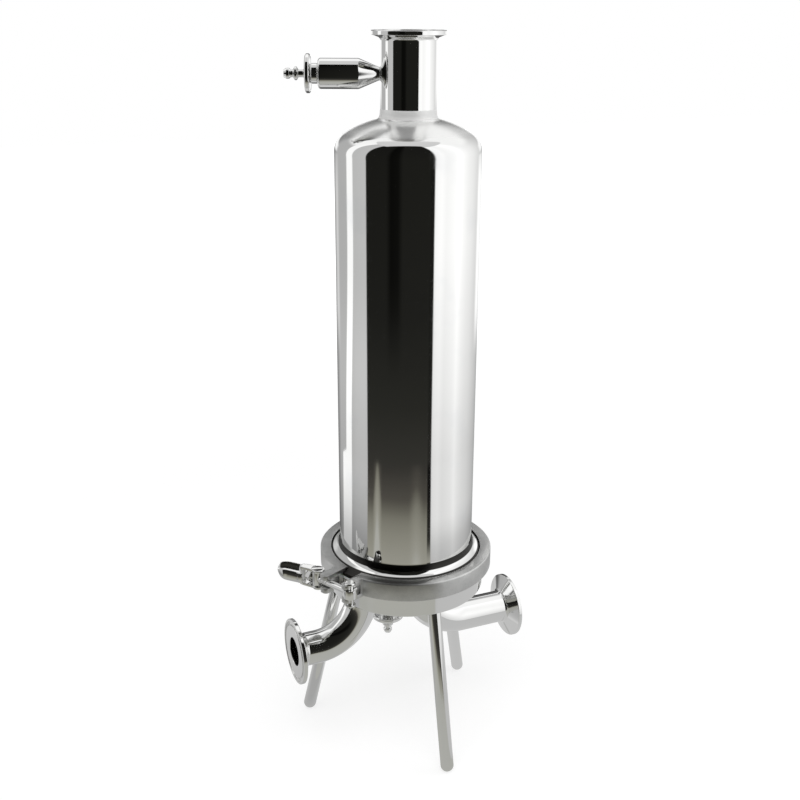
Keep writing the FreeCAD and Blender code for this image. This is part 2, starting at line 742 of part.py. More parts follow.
def build_clamp():
    for name, side in (("clamp_half_right", 1), ("clamp_half_left", -1)):
        finish(clamp_half(name, side), clamp_place())
    headed_pin("clamp_hinge_pin", "-hinge_reach", "0", "clamp_bottom", "clamp_height")
    headed_pin("eye_bolt_pin", "bolt_line", "bolt_pin_offset", "clamp_bottom - pin_overhang",
               "clamp_height + pin_overhang")

    # eye bolt: from its pin in the right lug, through the left lug's slot, to the nut
    reach = "(bolt_pin_offset + bolt_reach)"
    eye = cylinder("eye_bolt_eye", "eye_radius", "eye_height",
                   at("bolt_line", "bolt_pin_offset", "closure_middle - eye_height / 2"))
    shank = cylinder("eye_bolt_shank", "bolt_radius", reach,
                     at("bolt_line", "bolt_pin_offset", "closure_middle", Rotation(Vector(1, 0, 0), 90)))
    bolt_hole = cylinder("eye_bolt_hole", "pin_radius + pin_fit", "2 * eye_height",
                         at("bolt_line", "bolt_pin_offset", "closure_middle - eye_height"))
    finish(cut("eye_bolt", joined("eye_bolt_blank", [eye, shank]), bolt_hole), clamp_place())

    cross = cylinder("cross_barrel_rod", "cross_barrel_radius", "lever_height",
                     at("bolt_line", "-barrel_pin_offset", "closure_middle - lever_height / 2"))
    passage = cylinder("cross_barrel_hole", "bolt_radius + pin_fit", "4 * cross_barrel_radius",
                       at("bolt_line", "2 * cross_barrel_radius - barrel_pin_offset", "closure_middle",
                          Rotation(Vector(1, 0, 0), 90)))
    finish(cut("cross_barrel", cross, passage), clamp_place())

    nut = doc.addObject("Part::Prism", "adjusting_nut_blank")
    nut.Polygon = 6
    bind(nut, Circumradius="nut_width / 2 / cos(30)", Height="nut_thickness")
    nut.Placement = at("bolt_line", "-barrel_pin_offset - cross_barrel_radius", "closure_middle",
                       Rotation(Vector(1, 0, 0), 90))
    tapped = cylinder("adjusting_nut_hole", "bolt_radius + pin_fit", "4 * nut_thickness",
                      at("bolt_line", "-barrel_pin_offset", "closure_middle", Rotation(Vector(1, 0, 0), 90)))
    finish(cut("adjusting_nut", nut, tapped), clamp_place())
    build_lever()


def build_lever():
    """The spoon lever, drawn about its own pivot with the handle along its +X."""
    half = "lever_height / 2"
    plan = doc.addObject("PartDesign::Body", "lever_plan")
    sketch = outline_sketch(plan, "XY_Plane", "lever_plan_outline", [
        ("0", "-lever_root"),
        ("lever_neck_station", "-lever_back"),
        ("lever_wide_station", "-lever_back"),
        ("lever_length", "lever_tip_back"),
        ("lever_length", "lever_tip_face"),
        ("lever_wide_station", "lever_face"),
        ("lever_neck_station", "lever_neck_face"),
        ("0", "lever_root")])
    pad = plan.newObject("PartDesign::Pad", "lever_plan_pad")
    pad.Profile = sketch
    bind(pad, Length="lever_height")
    pad.Midplane = True
    plan.Tip = pad

    side = doc.addObject("PartDesign::Body", "lever_side")
    edge = [
        ("-2 * cam_radius", half),
        ("lever_shoulder_station", half),
        ("lever_neck_station", "lever_neck"),
        ("lever_spoon_station", half),
        ("lever_round_station", half),
        ("lever_nose_station", "lever_nose"),
        ("lever_length", "lever_tip")]
    lower = [(station, "-(%s)" % reach) for station, reach in edge]
    face = outline_sketch(side, "XZ_Plane", "lever_side_outline", lower + edge[::-1])
    slab = side.newObject("PartDesign::Pad", "lever_side_pad")
    slab.Profile = face
    bind(slab, Length="lever_length")
    slab.Midplane = True
    side.Tip = slab
    doc.recompute()

    # cams sit off the pivot, towards the lug while the lever is shut
    turn = math.radians(size("lever_turn"))
    throw = size("cam_throw")
    cams = cylinder("lever_cams", "cam_radius", "lever_height",
                    Placement(Vector(-throw * math.cos(turn), throw * math.sin(turn), -size(half)), Rotation()))
    blank = joined("lever_blank", [shared("lever_blade_blank", [plan, side]), cams])
    slot = cylinder("lever_slot", "lever_slot_radius", "lever_height - 2 * lever_arm",
                    at("0", "0", "lever_arm - %s" % half))
    pivot = cylinder("lever_pivot_hole", "cross_barrel_radius + pin_fit", "2 * lever_height",
                     at("0", "0", "-lever_height"))
    dish = doc.addObject("Part::Sphere", "lever_dish")
    bind(dish, Radius="dish_radius")
    dish.Placement = at("lever_wide_station", "lever_face + dish_radius - dish_depth", "0")
    lever = cut("latch_lever", blank, joined("lever_tools", [slot, pivot, dish]))
    frame = at("bolt_line", "-barrel_pin_offset", "closure_middle", about_z(-90 + size("lever_turn")))
    finish(lever, clamp_place().multiply(frame))


def build_cartridge():
    foot = "cartridge_foot"
    groove = "(spigot_radius - 2 * oring_cord)"
    low = "(socket_top - 3 * oring_cord - oring_spacing)"
    high = "(socket_top - 3 * oring_cord)"
    finish(turned("cartridge_foot_cap", [
        ("spigot_radius - spigot_wall - 2 * oring_cord", "%s - spigot_depth" % foot),
        ("spigot_radius", "%s - spigot_depth" % foot),
        ("spigot_radius", low),
        (groove, low),
        (groove, "%s + oring_gland_width" % low),
        ("spigot_radius", "%s + oring_gland_width" % low),
        ("spigot_radius", high),
        (groove, high),
        (groove, "%s + oring_gland_width" % high),
        ("spigot_radius", "%s + oring_gland_width" % high),
        ("spigot_radius", foot),
        ("cartridge_radius", foot),
        ("cartridge_radius", foot + " + cartridge_cap"),
        ("core_radius - core_wall", foot + " + cartridge_cap"),
        ("core_radius - core_wall", foot),
        ("spigot_radius - spigot_wall - 2 * oring_cord", foot)]))
    rings = []
    for level in (low, high):
        middle = size("%s + oring_gland_width / 2" % level)
        rings.append(Part.makeTorus(size("spigot_radius - oring_cord"), size("oring_cord"),
                                    Vector(0, 0, middle)))
    finish(scripted("spigot_o_rings", Part.makeCompound(rings)))

    start = foot + " + cartridge_cap"
    top = "cartridge_top - cartridge_cap"
    for name, radius, wall in (("cartridge_core", "core_radius", "core_wall"),
                               ("cartridge_cage", "cartridge_radius", "cage_wall")):
        finish(turned(name, [("%s - %s" % (radius, wall), start), (radius, start),
                             (radius, top), ("%s - %s" % (radius, wall), top)]))

    # pleated medium: a folded sheet between the core and the cage
    count = int(size("pleat_count"))
    inner = size("core_radius + pleat_gap")
    outer = size("cartridge_radius - cage_wall - pleat_gap")
    sheet_half = size("pleat_thickness / 2")

    def star(shift):
        points = []
        for index in range(2 * count):
            angle = math.pi * index / count
            radius = (outer if index % 2 else inner) + shift
            points.append(Vector(radius * math.cos(angle), radius * math.sin(angle), size(start)))
        return Part.Face(Part.makePolygon(points + points[:1]))

    folds = star(sheet_half).cut(star(-sheet_half))
    finish(scripted("pleated_medium", folds.extrude(Vector(0, 0, size("%s - (%s)" % (top, start))))))

    finish(joined("cartridge_top_cap", [
        cylinder("top_cap_disc", "cartridge_radius", "cartridge_cap", at("0", "0", top))]
        + [block("top_cap_fin_%d" % index, low, spans) for index, (low, spans) in enumerate((
            (("-fin_reach", "-fin_thickness / 2", "cartridge_top - fin_sink"),
             ("2 * fin_reach", "fin_thickness", "fin_height + fin_sink")),
            (("-fin_thickness / 2", "-fin_reach", "cartridge_top - fin_sink"),
             ("fin_thickness", "2 * fin_reach", "fin_height + fin_sink"))))]))


build_shell()
build_base()
build_ports()
build_valves()
build_clamp()
build_cartridge()
doc.recompute()

for item in doc.Objects:
    bad = [state for state in item.State if state in ("Invalid", "Error")]
    if bad:
        raise RuntimeError("%s is %s" % (item.Name, bad))
for item in finished:
    if item.Shape.isNull() or not item.Shape.isValid() or item.Shape.Volume <= 0:
        raise RuntimeError("%s has a bad shape" % item.Label)

os.makedirs("parts", exist_ok=True)
for item in finished:
    item.Shape.exportStep(os.path.join("parts", item.Label + ".step"))
    print("%-20s %9.0f mm3  %d solid(s)" % (item.Label, item.Shape.Volume, len(item.Shape.Solids)))
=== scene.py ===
import json
import math

import bmesh
import bpy
from mathutils import Matrix, Vector


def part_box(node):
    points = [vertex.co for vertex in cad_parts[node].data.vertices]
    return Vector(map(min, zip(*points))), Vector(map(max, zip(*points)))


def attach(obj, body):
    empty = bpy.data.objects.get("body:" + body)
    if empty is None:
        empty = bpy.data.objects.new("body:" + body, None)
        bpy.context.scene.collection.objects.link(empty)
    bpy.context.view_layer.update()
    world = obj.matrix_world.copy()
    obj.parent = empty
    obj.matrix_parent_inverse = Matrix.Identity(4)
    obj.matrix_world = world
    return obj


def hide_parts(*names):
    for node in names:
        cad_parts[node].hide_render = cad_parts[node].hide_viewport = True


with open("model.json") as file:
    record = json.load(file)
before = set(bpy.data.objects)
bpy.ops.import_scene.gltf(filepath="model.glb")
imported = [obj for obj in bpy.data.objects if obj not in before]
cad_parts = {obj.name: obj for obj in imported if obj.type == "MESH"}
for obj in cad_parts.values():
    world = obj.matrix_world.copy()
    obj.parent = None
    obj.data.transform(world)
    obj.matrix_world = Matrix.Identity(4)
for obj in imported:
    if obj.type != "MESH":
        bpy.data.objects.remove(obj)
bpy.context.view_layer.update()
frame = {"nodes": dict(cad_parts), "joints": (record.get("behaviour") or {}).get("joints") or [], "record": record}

record = frame["record"]
joints = {joint["name"]: joint for joint in frame["joints"]}
mounts = {mount["name"]: mount for mount in record["mounts"]}
bodyOf = {node: body for body, nodes in record["behaviour"]["bodies"].items() for node in nodes}
millimetre = 0.001
upward = Vector((0, 0, 1))
print("frame loaded,", len(frame["nodes"]), "nodes")


# A socket of a node tree that can be added, multiplied and so on
class Wire:
    def __init__(self, tree, socket):
        self.tree = tree
        self.socket = socket

    @classmethod
    def node(cls, tree, kind, settings, inputs, output=0):
        made = tree.nodes.new(kind)
        for name, value in settings.items():
            if name == "stops":
                cls.setStops(made.color_ramp, value)
            else:
                setattr(made, name, value)
        for name, value in inputs.items():
            if isinstance(value, Wire):
                tree.links.new(value.socket, made.inputs[name])
            else:
                made.inputs[name].default_value = value
        return cls(tree, made.outputs[output])

    @staticmethod
    def setStops(ramp, stops):
        while len(ramp.elements) > 1:
            ramp.elements.remove(ramp.elements[-1])
        ramp.elements[0].position = stops[0][0]
        for position, _ in stops[1:]:
            ramp.elements.new(position)
        for element, (_, colour) in zip(ramp.elements, stops):
            element.color = colour

    def another(self, kind, settings, inputs, output=0):
        return Wire.node(self.tree, kind, settings, inputs, output)

    def maths(self, operation, first, second=0.0):
        return self.another("ShaderNodeMath", {"operation": operation}, {0: first, 1: second})

    def __add__(self, other):
        return self.maths("ADD", self, other)

    def __sub__(self, other):
        return self.maths("SUBTRACT", self, other)

    def __rsub__(self, other):
        return self.maths("SUBTRACT", other, self)

    def __mul__(self, other):
        return self.maths("MULTIPLY", self, other)

    def __truediv__(self, other):
        return self.maths("DIVIDE", self, other)

    def __rtruediv__(self, other):
        return self.maths("DIVIDE", other, self)

    __radd__ = __add__
    __rmul__ = __mul__

    def between(self, low, high):  # smooth step from 0 at low to 1 at high
        return self.another("ShaderNodeMapRange", {"interpolation_type": "SMOOTHSTEP"},
                            {"Value": self, "From Min": low, "From Max": high})

    def window(self, rise, fall):  # 1 after a soft rise and before a soft fall
        return self.between(*rise) * self.between(*fall)

    def blend(self, first, second):  # colours, by this value
        return self.another("ShaderNodeMix", {"data_type": "RGBA"}, {0: self, 6: first, 7: second}, 2)

    def tinted(self, colour):  # this colour times another
        return self.another("ShaderNodeMix", {"data_type": "RGBA", "blend_type": "MULTIPLY"},
                            {0: 1.0, 6: self, 7: colour}, 2)

    def ramp(self, stops):
        return self.another("ShaderNodeValToRGB", {"stops": stops}, {0: self})

    def vectorMaths(self, operation, second=(0, 0, 0), output=0):
        return self.another("ShaderNodeVectorMath", {"operation": operation}, {0: self, 1: tuple(second)}, output)

    def along(self, direction):  # how far this vector reaches in a direction
        return self.vectorMaths("DOT_PRODUCT", direction, 1)

    def stretched(self, scales):
        return self.vectorMaths("MULTIPLY", scales)

    def length(self):
        return self.vectorMaths("LENGTH", output=1)

    def noise(self, scale, detail=2.0, roughness=0.5):
        return self.another("ShaderNodeTexNoise", {},
                            {"Vector": self, "Scale": scale, "Detail": detail, "Roughness": roughness})

    def bumped(self, distance, strength=1.0, under=None):
        inputs = {"Height": self, "Distance": distance, "Strength": strength}
        if under is not None:
            inputs["Normal"] = under
        return self.another("ShaderNodeBump", {}, inputs)


def grey(value):
    return (value, value, value, 1.0)


def inScene(name, data):
    item = bpy.data.objects.new(name, data)
    bpy.context.scene.collection.objects.link(item)
    return item


# Camera, at the photograph's place
cameraSpot = {
    "location": (-0.3054, -0.7025, 0.552),
    "tilt": 70.1,  # degrees, 90 is level
    "heading": -23.135,
    "roll": 0.25,
    "lens": 49.41,
    "sensor": 36.0,
    "clipStart": 0.02,
    "viewAngle": -113.5,  # where the camera stands about the shell's axis
}


def makeCamera():
    data = bpy.data.cameras.new("photoCamera")
    data.lens = cameraSpot["lens"]
    data.sensor_width = cameraSpot["sensor"]
    data.clip_start = cameraSpot["clipStart"]
    camera = inScene("photoCamera", data)
    turn = Matrix()
    for name, axis in (("heading", "Z"), ("tilt", "X"), ("roll", "Z")):
        turn = turn @ Matrix.Rotation(math.radians(cameraSpot[name]), 4, axis)
    camera.matrix_world = Matrix.Translation(cameraSpot["location"]) @ turn
    bpy.context.scene.camera = camera


makeCamera()
viewAngle = math.radians(cameraSpot["viewAngle"])
towardsCamera = Vector((math.cos(viewAngle), math.sin(viewAngle), 0))
towardsRight = Vector((-math.sin(viewAngle), math.cos(viewAngle), 0))


# Studio: pale floor, white surroundings and soft lamps
studio = {
    "floorHalf": 4.0,
    "floorGlow": 0.68,
    "farGlow": 1.6,  # the floor melts into the background
    "farReach": (0.5, 1.8),
    "floorColour": 0.42,
    "bounceColour": 0.80,
    "worldFill": 0.55,
    "lampAim": Vector((0, 0, 0.2)),
    "lamps": (
        {"name": "topLamp", "place": (-0.35, -0.55, 1.55), "size": 1.3, "power": 9.0},
        {"name": "sideLamp", "place": (1.15, -0.35, 0.95), "size": 1.0, "power": 3.0},
    ),
}


def seenDirectly(tree):  # 1 for camera, glossy and transmission rays
    total = Wire.node(tree, "ShaderNodeLightPath", {}, {}, "Is Camera Ray")
    for kind in ("Is Glossy Ray", "Is Transmission Ray"):
        total = total.maths("MAXIMUM", total, total.another("ShaderNodeLightPath", {}, {}, kind))
    return total


def startMaterial(name):  # every pattern reads Object coordinates in metres
    material = bpy.data.materials.new(name)
    material.use_nodes = True
    material.node_tree.nodes.clear()
    return material, Wire.node(material.node_tree, "ShaderNodeTexCoord", {}, {}, "Object")


def closeShader(shader, kind="ShaderNodeOutputMaterial"):
    shader.tree.links.new(shader.socket, shader.tree.nodes.new(kind).inputs["Surface"])


def stageMesh(name, points, faces, material):
    mesh = bpy.data.meshes.new(name)
    mesh.from_pydata(points, [], faces)
    mesh.materials.append(material)
    piece = inScene(name, mesh)
    return piece


def makeFloor():
    half = studio["floorHalf"]
    material, spot = startMaterial("studioFloor")
    seen = seenDirectly(spot.tree)
    far = spot.length().between(*studio["farReach"]).blend(grey(1.0), grey(studio["farGlow"]))
    glow = seen.another("ShaderNodeEmission", {}, {"Color": far, "Strength": studio["floorGlow"]})
    thin = seen.another("ShaderNodeBsdfDiffuse", {}, {"Color": grey(studio["floorColour"])})
    bounce = seen.another("ShaderNodeBsdfDiffuse", {}, {"Color": grey(studio["bounceColour"])})
    pale = seen.another("ShaderNodeAddShader", {}, {0: glow, 1: thin})
    closeShader(seen.another("ShaderNodeMixShader", {}, {0: seen, 1: bounce, 2: pale}))
    stageMesh("studioFloor", [(-half, -half, 0), (half, -half, 0), (half, half, 0), (-half, half, 0)],
              [(0, 1, 2, 3)], material)


def makeWorld():
    world = bpy.data.worlds.new("studioWorld")
    bpy.context.scene.world = world
    world.use_nodes = True
    tree = world.node_tree
    tree.nodes.clear()
    fill = studio["worldFill"]
    seen = seenDirectly(tree) * (1 - fill) + fill
    back = seen.another("ShaderNodeBackground", {}, {"Color": grey(1.0), "Strength": seen})
    closeShader(back, "ShaderNodeOutputWorld")


def makeLamps():
    for lamp in studio["lamps"]:
        data = bpy.data.lights.new(lamp["name"], "AREA")
        data.size = lamp["size"]
        data.energy = lamp["power"]
        item = inScene(lamp["name"], data)
        item.location = lamp["place"]
        aim = studio["lampAim"] - Vector(lamp["place"])
        item.rotation_euler = aim.to_track_quat("-Z", "Y").to_euler()
        item.visible_glossy = False


# Tent that only reflections see. Bearings are degrees from the camera, heights and reaches metres.
tent = {
    "radius": 0.60,
    "height": 1.60,
    "lift": 0.0004,
    "steps": 96,
    "strength": 1.18,
    "wallFoot": (0.0, 0.01),
    "lidRim": (1.58, 1.59),
    "lidSpan": (-0.45, -0.30),
    "lidTone": 0.62,
    "backTone": 0.95,
    "backHeights": (0.75, 0.95),
    "backSpan": (0.0, -0.2),
    "middleTone": 0.92,  # wall behind, at the height that the clamp's top mirrors
    "middleHeights": ((0.41, 0.46), (0.57, 0.52)),
    "middleSpan": (-0.42, -0.50),
    "lowLift": 0.8,  # wall behind, below that
    "lowHeights": ((0.12, 0.20), (0.42, 0.34)),
    "lowSpan": (-0.40, -0.50),
    "streakLeft": -106.0,  # side edges of the bright strip at the left, high on the wall
    "streakRight": -91.5,
    "streakHeights": (0.0, 0.30),  # it leans over below this
    "streakLean": (11, 9),
    "streakFoot": 13,  # and spreads on the floor
    "streakEdges": ((-1.5, 1.5), (1, -1)),
    "glowBearings": (-20, -80),  # floor and low wall at the left
    "glowHeights": (0.10, 0.28),
    "glowReach": (0.43, 0.55),
    "glow": 0.28,
    "tableEdge": (0.34, 0.28),  # where the near table gives way to the far floor
    "flagLeft": (-66.0, -64.0),  # side edges of the black flag behind the camera
    "flagRight": (41.5, 39.5),
    "flagBrink": (0.34, 0.32),  # how near the axis it reaches over the lid
    "leftTongue": ((-56, -47), (-38, -47)),
    "leftTongueReach": 0.13,
    "rightTongue": ((3, 17), (31, 17)),
    "rightTongueReach": 0.04,
    "foldHeights": (0.10, 0.26),
    "hemBearings": (33.5, 35.5),  # the flag's right edge, darker still
    "hemReach": (0.35, 0.41),
    "hemShare": 0.93,
    "hemOnWall": 0.4,
    "hemTone": 0.004,
}
# tone of the tent round the axis, (degrees from the camera, brightness)
tentBands = ((-180, 0.06), (-167, 0.06), (-163, 0.16), (-150, 0.26), (-138, 0.42), (-104, 0.44), (-89, 0.50),
             (-62, 0.53), (-40, 0.80), (30, 0.84), (41, 0.93), (44, 1.0), (52, 1.04), (60, 0.97), (67, 1.0),
             (76, 1.05), (84, 1.15), (94, 1.02), (104, 0.93), (116, 0.86), (130, 0.74), (146, 0.60),
             (164, 0.42), (168, 0.06), (180, 0.06))
# how the bands fade up the wall and along the floor, (metres, share)
bandFade = ((0.0, 0.74), (0.105, 0.86), (0.28, 1.0))
floorFade = ((0.33, 0.45), (0.385, 0.54), (0.42, 0.66), (0.45, 0.74), (0.60, 0.76))
# tone of the table near the legs, round the axis
nearTones = ((-180, 0.50), (-140, 0.62), (-110, 0.50), (-80, 0.38), (22, 0.36), (45, 0.50), (180, 0.54))
# colour of the table before the flag and of the flag itself, (metres out or up, colour)
tableTones = ((0.00, (0.42, 0.42, 0.40)), (0.30, (0.40, 0.40, 0.37)), (0.35, (0.31, 0.305, 0.265)),
              (0.40, (0.26, 0.255, 0.215)), (0.44, (0.215, 0.21, 0.175)), (0.46, (0.18, 0.175, 0.145)),
              (0.485, (0.12, 0.115, 0.095)), (0.51, (0.073, 0.068, 0.058)), (0.60, (0.036, 0.034, 0.030)))
wallTones = ((0.00, (0.034, 0.033, 0.029)), (0.08, (0.021, 0.021, 0.018)), (0.20, (0.0125, 0.0125, 0.011)),
             (0.36, (0.0105, 0.0105, 0.009)), (1.00, (0.009, 0.009, 0.008)))
# folds of the flag's cloth round the axis, (degrees, share)
flagFolds = ((-65, 1.0), (-32, 1.0), (-25, 0.3), (-14, 0.4), (-7, 1.1), (41, 1.15))


def rounded(stops):  # bearings become shares of a full turn
    return [((degrees + 180) / 360, grey(tone)) for degrees, tone in stops]


def measured(stops):
    return [(where, (*tone, 1.0) if isinstance(tone, tuple) else grey(tone)) for where, tone in stops]


def tentMaterial():
    material, spot = startMaterial("reflectionTent")
    forward, side, height = spot.along(towardsCamera), spot.along(towardsRight), spot.along(upward)
    bearing = spot.maths("ARCTAN2", side, forward) * (180 / math.pi)
    turn = (bearing + 180) / 360
    reach = spot.stretched((1, 1, 0)).length()
    onWall, onLid = height.between(*tent["wallFoot"]), height.between(*tent["lidRim"])
    onFloor = 1 - onWall

    fade = onWall.blend(reach.ramp(measured(floorFade)), height.ramp(measured(bandFade)))
    drop = 1 - height.between(*tent["streakHeights"])
    (leanLeft, leanRight), (leftEdge, rightEdge) = tent["streakLean"], tent["streakEdges"]
    streak = (bearing + (drop * leanLeft + onFloor * tent["streakFoot"] - tent["streakLeft"])).between(*leftEdge)
    streak = streak * (bearing + (drop * leanRight - tent["streakRight"])).between(*rightEdge)
    glow = bearing.between(*tent["glowBearings"]) * (1 - height.between(*tent["glowHeights"]))
    glow = glow * reach.between(*tent["glowReach"]) * tent["glow"]
    low = height.window(*tent["lowHeights"]) * forward.between(*tent["lowSpan"]) * tent["lowLift"]
    middle = height.window(*tent["middleHeights"]) * forward.between(*tent["middleSpan"])
    high = height.between(*tent["backHeights"]) * forward.between(*tent["backSpan"])
    bands = streak.blend(turn.ramp(rounded(tentBands)), grey(1.0)).tinted(fade).tinted(glow + 1)
    bands = high.blend(bands.tinted(low + 1), grey(tent["backTone"]))
    bands = middle.blend(bands, grey(tent["middleTone"]))
    lid = forward.between(*tent["lidSpan"]).blend(grey(tent["backTone"]), grey(tent["lidTone"]))
    near = reach.between(*tent["tableEdge"]) * onFloor
    bands = near.blend(onLid.blend(bands, lid), turn.ramp(rounded(nearTones)))

    tongues = (bearing.window(*tent["leftTongue"]) * tent["leftTongueReach"]
               + bearing.window(*tent["rightTongue"]) * tent["rightTongueReach"])
    dark = onWall.blend((reach - tongues).ramp(measured(tableTones)), height.ramp(measured(wallTones)))
    folds = height.between(*tent["foldHeights"]).blend(grey(1.0), turn.ramp(rounded(flagFolds)))
    hem = bearing.between(*tent["hemBearings"]) * (1 - onWall * (1 - tent["hemOnWall"]))
    hem = hem * reach.between(*tent["hemReach"]) * tent["hemShare"]
    dark = hem.blend(dark.tinted(folds), grey(tent["hemTone"]))
    flag = bearing.window(tent["flagLeft"], tent["flagRight"])
    flag = flag * (1 - onLid * forward.between(*tent["flagBrink"]))
    tone = flag.blend(bands, dark)
    closeShader(spot.another("ShaderNodeEmission", {}, {"Color": tone, "Strength": tent["strength"]}))
    material.cycles.emission_sampling = "NONE"
    return material


def ringAngles(steps):
    return [2 * math.pi * index / steps for index in range(steps)]


def makeTent():
    steps, radius = tent["steps"], tent["radius"]
    points = [(radius * math.cos(angle), radius * math.sin(angle), level)
              for level in (tent["lift"], tent["height"]) for angle in ringAngles(steps)]
    faces = [(i, (i + 1) % steps, steps + (i + 1) % steps, steps + i) for i in range(steps)]
    faces += [tuple(range(steps)), tuple(range(steps, 2 * steps))]
    piece = stageMesh("reflectionTent", points, faces, tentMaterial())
    for ray in ("camera", "diffuse", "transmission", "volume_scatter", "shadow"):
        setattr(piece, "visible_" + ray, False)


makeFloor()
makeWorld()
makeTent()
makeLamps()
bpy.context.scene.view_settings.view_transform = "Standard"
print("studio set")


# Materials
def surface(material, tone, metal, rough, normal, others=None):
    inputs = {"Base Color": tone, "Metallic": metal, "Roughness": rough, "Normal": normal, **(others or {})}
    closeShader(Wire.node(material.node_tree, "ShaderNodeBsdfPrincipled", {}, inputs))
    return material


# Finishes. A noise is its scale, detail and roughness.
polish = {
    "bright": (0.82, 0.82, 0.81, 1.0),
    "dull": (0.77, 0.775, 0.775, 1.0),
    "roughness": 0.035,
    "smudgeNoise": (28.0, 3.0, 0.55),
    "smudgeRange": (0.52, 0.72),
    "smudgeRoughness": 0.05,
    "lineScale": (2600.0, 26.0, 900.0),  # fine along the axis, coarse round it
    "lineNoise": (1.0, 3.0, 0.6),
    "lineRoughness": 0.025,
    "lineDepth": 0.0000012,
    "hairNoise": (0.35, 1.0),
    "hairRange": (0.66, 0.72),
    "hairRoughness": 0.03,
    "waveNoise": (22.0, 1.0),
    "waveDepth": 0.00003,
    "dressedRoughness": 0.16,
    "toneShares": (0.6, 0.3),  # of smudges and lines in the dull tone
    "hairShare": 0.5,
}
# steel ground paler round the neck's weld, out to these radii in metres
dressedHead = {"reach": (0.048, 0.039), "matt": 0.36}
dressedWeld = {"reach": (0.05, 0.04), "matt": 0.75}
# dark ring round the barrel's foot on the shell flange, and painted shade in a band under the clamp's lip that
# reaches further in on the front (-y) side: heights, radius and softness in metres
flangeDarkRingAndLipShade = {"foot": 0.1592, "top": 0.1640, "lip": 0.0558, "lipShadeFrontShare": 0.012, "soft": 0.0004,
               "tone": (0.035, 0.034, 0.032, 1.0), "roughness": 0.25}


def polishedSteel(name, axis=upward, roughness=polish["roughness"], dressed=None, darkRingAndLipShade=None):
    material, spot = startMaterial(name)  # lines of the polishing belt run round the axis
    along, across = spot.along(axis), spot.along(axis.orthogonal())
    (fine, coarse, skew), (smudged, lined) = polish["lineScale"], polish["toneShares"]
    lineSpot = spot.another("ShaderNodeCombineXYZ", {},
                            {"X": along * fine, "Y": across * coarse, "Z": along * skew})
    lines = lineSpot.noise(*polish["lineNoise"])
    smudges = spot.noise(*polish["smudgeNoise"]).between(*polish["smudgeRange"])
    hairlines = lineSpot.noise(*polish["hairNoise"]).between(*polish["hairRange"])
    tone = (smudges * smudged + lines * lined).blend(polish["bright"], polish["dull"])
    waves = spot.noise(*polish["waveNoise"]).bumped(polish["waveDepth"])
    grain = (lines + hairlines * polish["hairShare"]).bumped(polish["lineDepth"], 1.0, waves)
    rough = smudges * polish["smudgeRoughness"] + lines * polish["lineRoughness"]
    rough = rough + hairlines * polish["hairRoughness"] + roughness
    metal = 1.0
    reach = spot.stretched((1, 1, 0)).length()
    if dressed:
        paler = reach.between(*dressed["reach"])
        rough = rough + paler * polish["dressedRoughness"]
        metal = 1 - paler * dressed["matt"]
    # darkens a ring at the barrel's foot, and paints shade in a band under the clamp's lip that reaches further in
    # towards -y
    if darkRingAndLipShade:
        soft = darkRingAndLipShade["soft"]
        foot = along.window((darkRingAndLipShade["foot"], darkRingAndLipShade["foot"] + soft), (darkRingAndLipShade["top"] + soft, darkRingAndLipShade["top"]))
        lip = reach - spot.along((0, 1, 0)) * darkRingAndLipShade["lipShadeFrontShare"]
        darker = foot.maths("MAXIMUM", foot, lip.between(darkRingAndLipShade["lip"], darkRingAndLipShade["lip"] + soft))
        tone = darker.blend(tone, darkRingAndLipShade["tone"])
        rough = rough + darker * darkRingAndLipShade["roughness"]
    return surface(material, tone, metal, rough, grain)


satin = {
    "bright": (0.62, 0.62, 0.61, 1.0),
    "dull": (0.47, 0.475, 0.47, 1.0),
    "toneShares": (0.7, 0.3, 0.6),  # of clouds and grains, less edges
    "toneRange": (0.25, 0.8),
    "edgeRange": (0.51, 0.60),
    "roughness": 0.24,
    "cloudNoise": (90.0, 4.0, 0.6),
    "cloudRoughness": 0.14,
    "cloudDepth": 0.00012,
    "cloudBump": 0.6,
    "grainNoise": (1400.0, 2.0, 0.6),
    "grainRoughness": 0.06,
    "grainDepth": 0.00002,
    "edgeShine": 0.12,
}


def castSteel(name):  # blasted casting, rubbed bright on its edges
    material, spot = startMaterial(name)
    edge = spot.another("ShaderNodeNewGeometry", {}, {}, "Pointiness").between(*satin["edgeRange"])
    grains = spot.noise(*satin["grainNoise"])
    clouds = spot.noise(*satin["cloudNoise"])
    cloudy, grainy, worn = satin["toneShares"]
    tone = (clouds * cloudy + grains * grainy - edge * worn).between(*satin["toneRange"])
    rough = clouds * satin["cloudRoughness"] + grains * satin["grainRoughness"]
    rough = rough - edge * satin["edgeShine"] + satin["roughness"]
    blast = grains.bumped(satin["grainDepth"], 1.0, clouds.bumped(satin["cloudDepth"], satin["cloudBump"]))
    return surface(material, tone.blend(satin["bright"], satin["dull"]), 1.0, rough, blast)


bead = {
    "clean": (0.70, 0.70, 0.69, 1.0),
    "straw": (0.66, 0.61, 0.52, 1.0),
    "tintNoise": (75.0, 1.0),
    "tintRange": (0.45, 0.75),
    "cloudNoise": (220.0, 3.0, 0.6),
    "cloudDepth": 0.00004,
    "roughness": (0.12, 0.2),  # at least, and how much more in the clouds
}


def weldSteel(name):  # brushed back after welding, with a trace of straw tint
    material, spot = startMaterial(name)
    clouds = spot.noise(*bead["cloudNoise"])
    tint = spot.noise(*bead["tintNoise"]).between(*bead["tintRange"])
    least, more = bead["roughness"]
    return surface(material, tint.blend(bead["clean"], bead["straw"]), 1.0, clouds * more + least,
                   clouds.bumped(bead["cloudDepth"]))


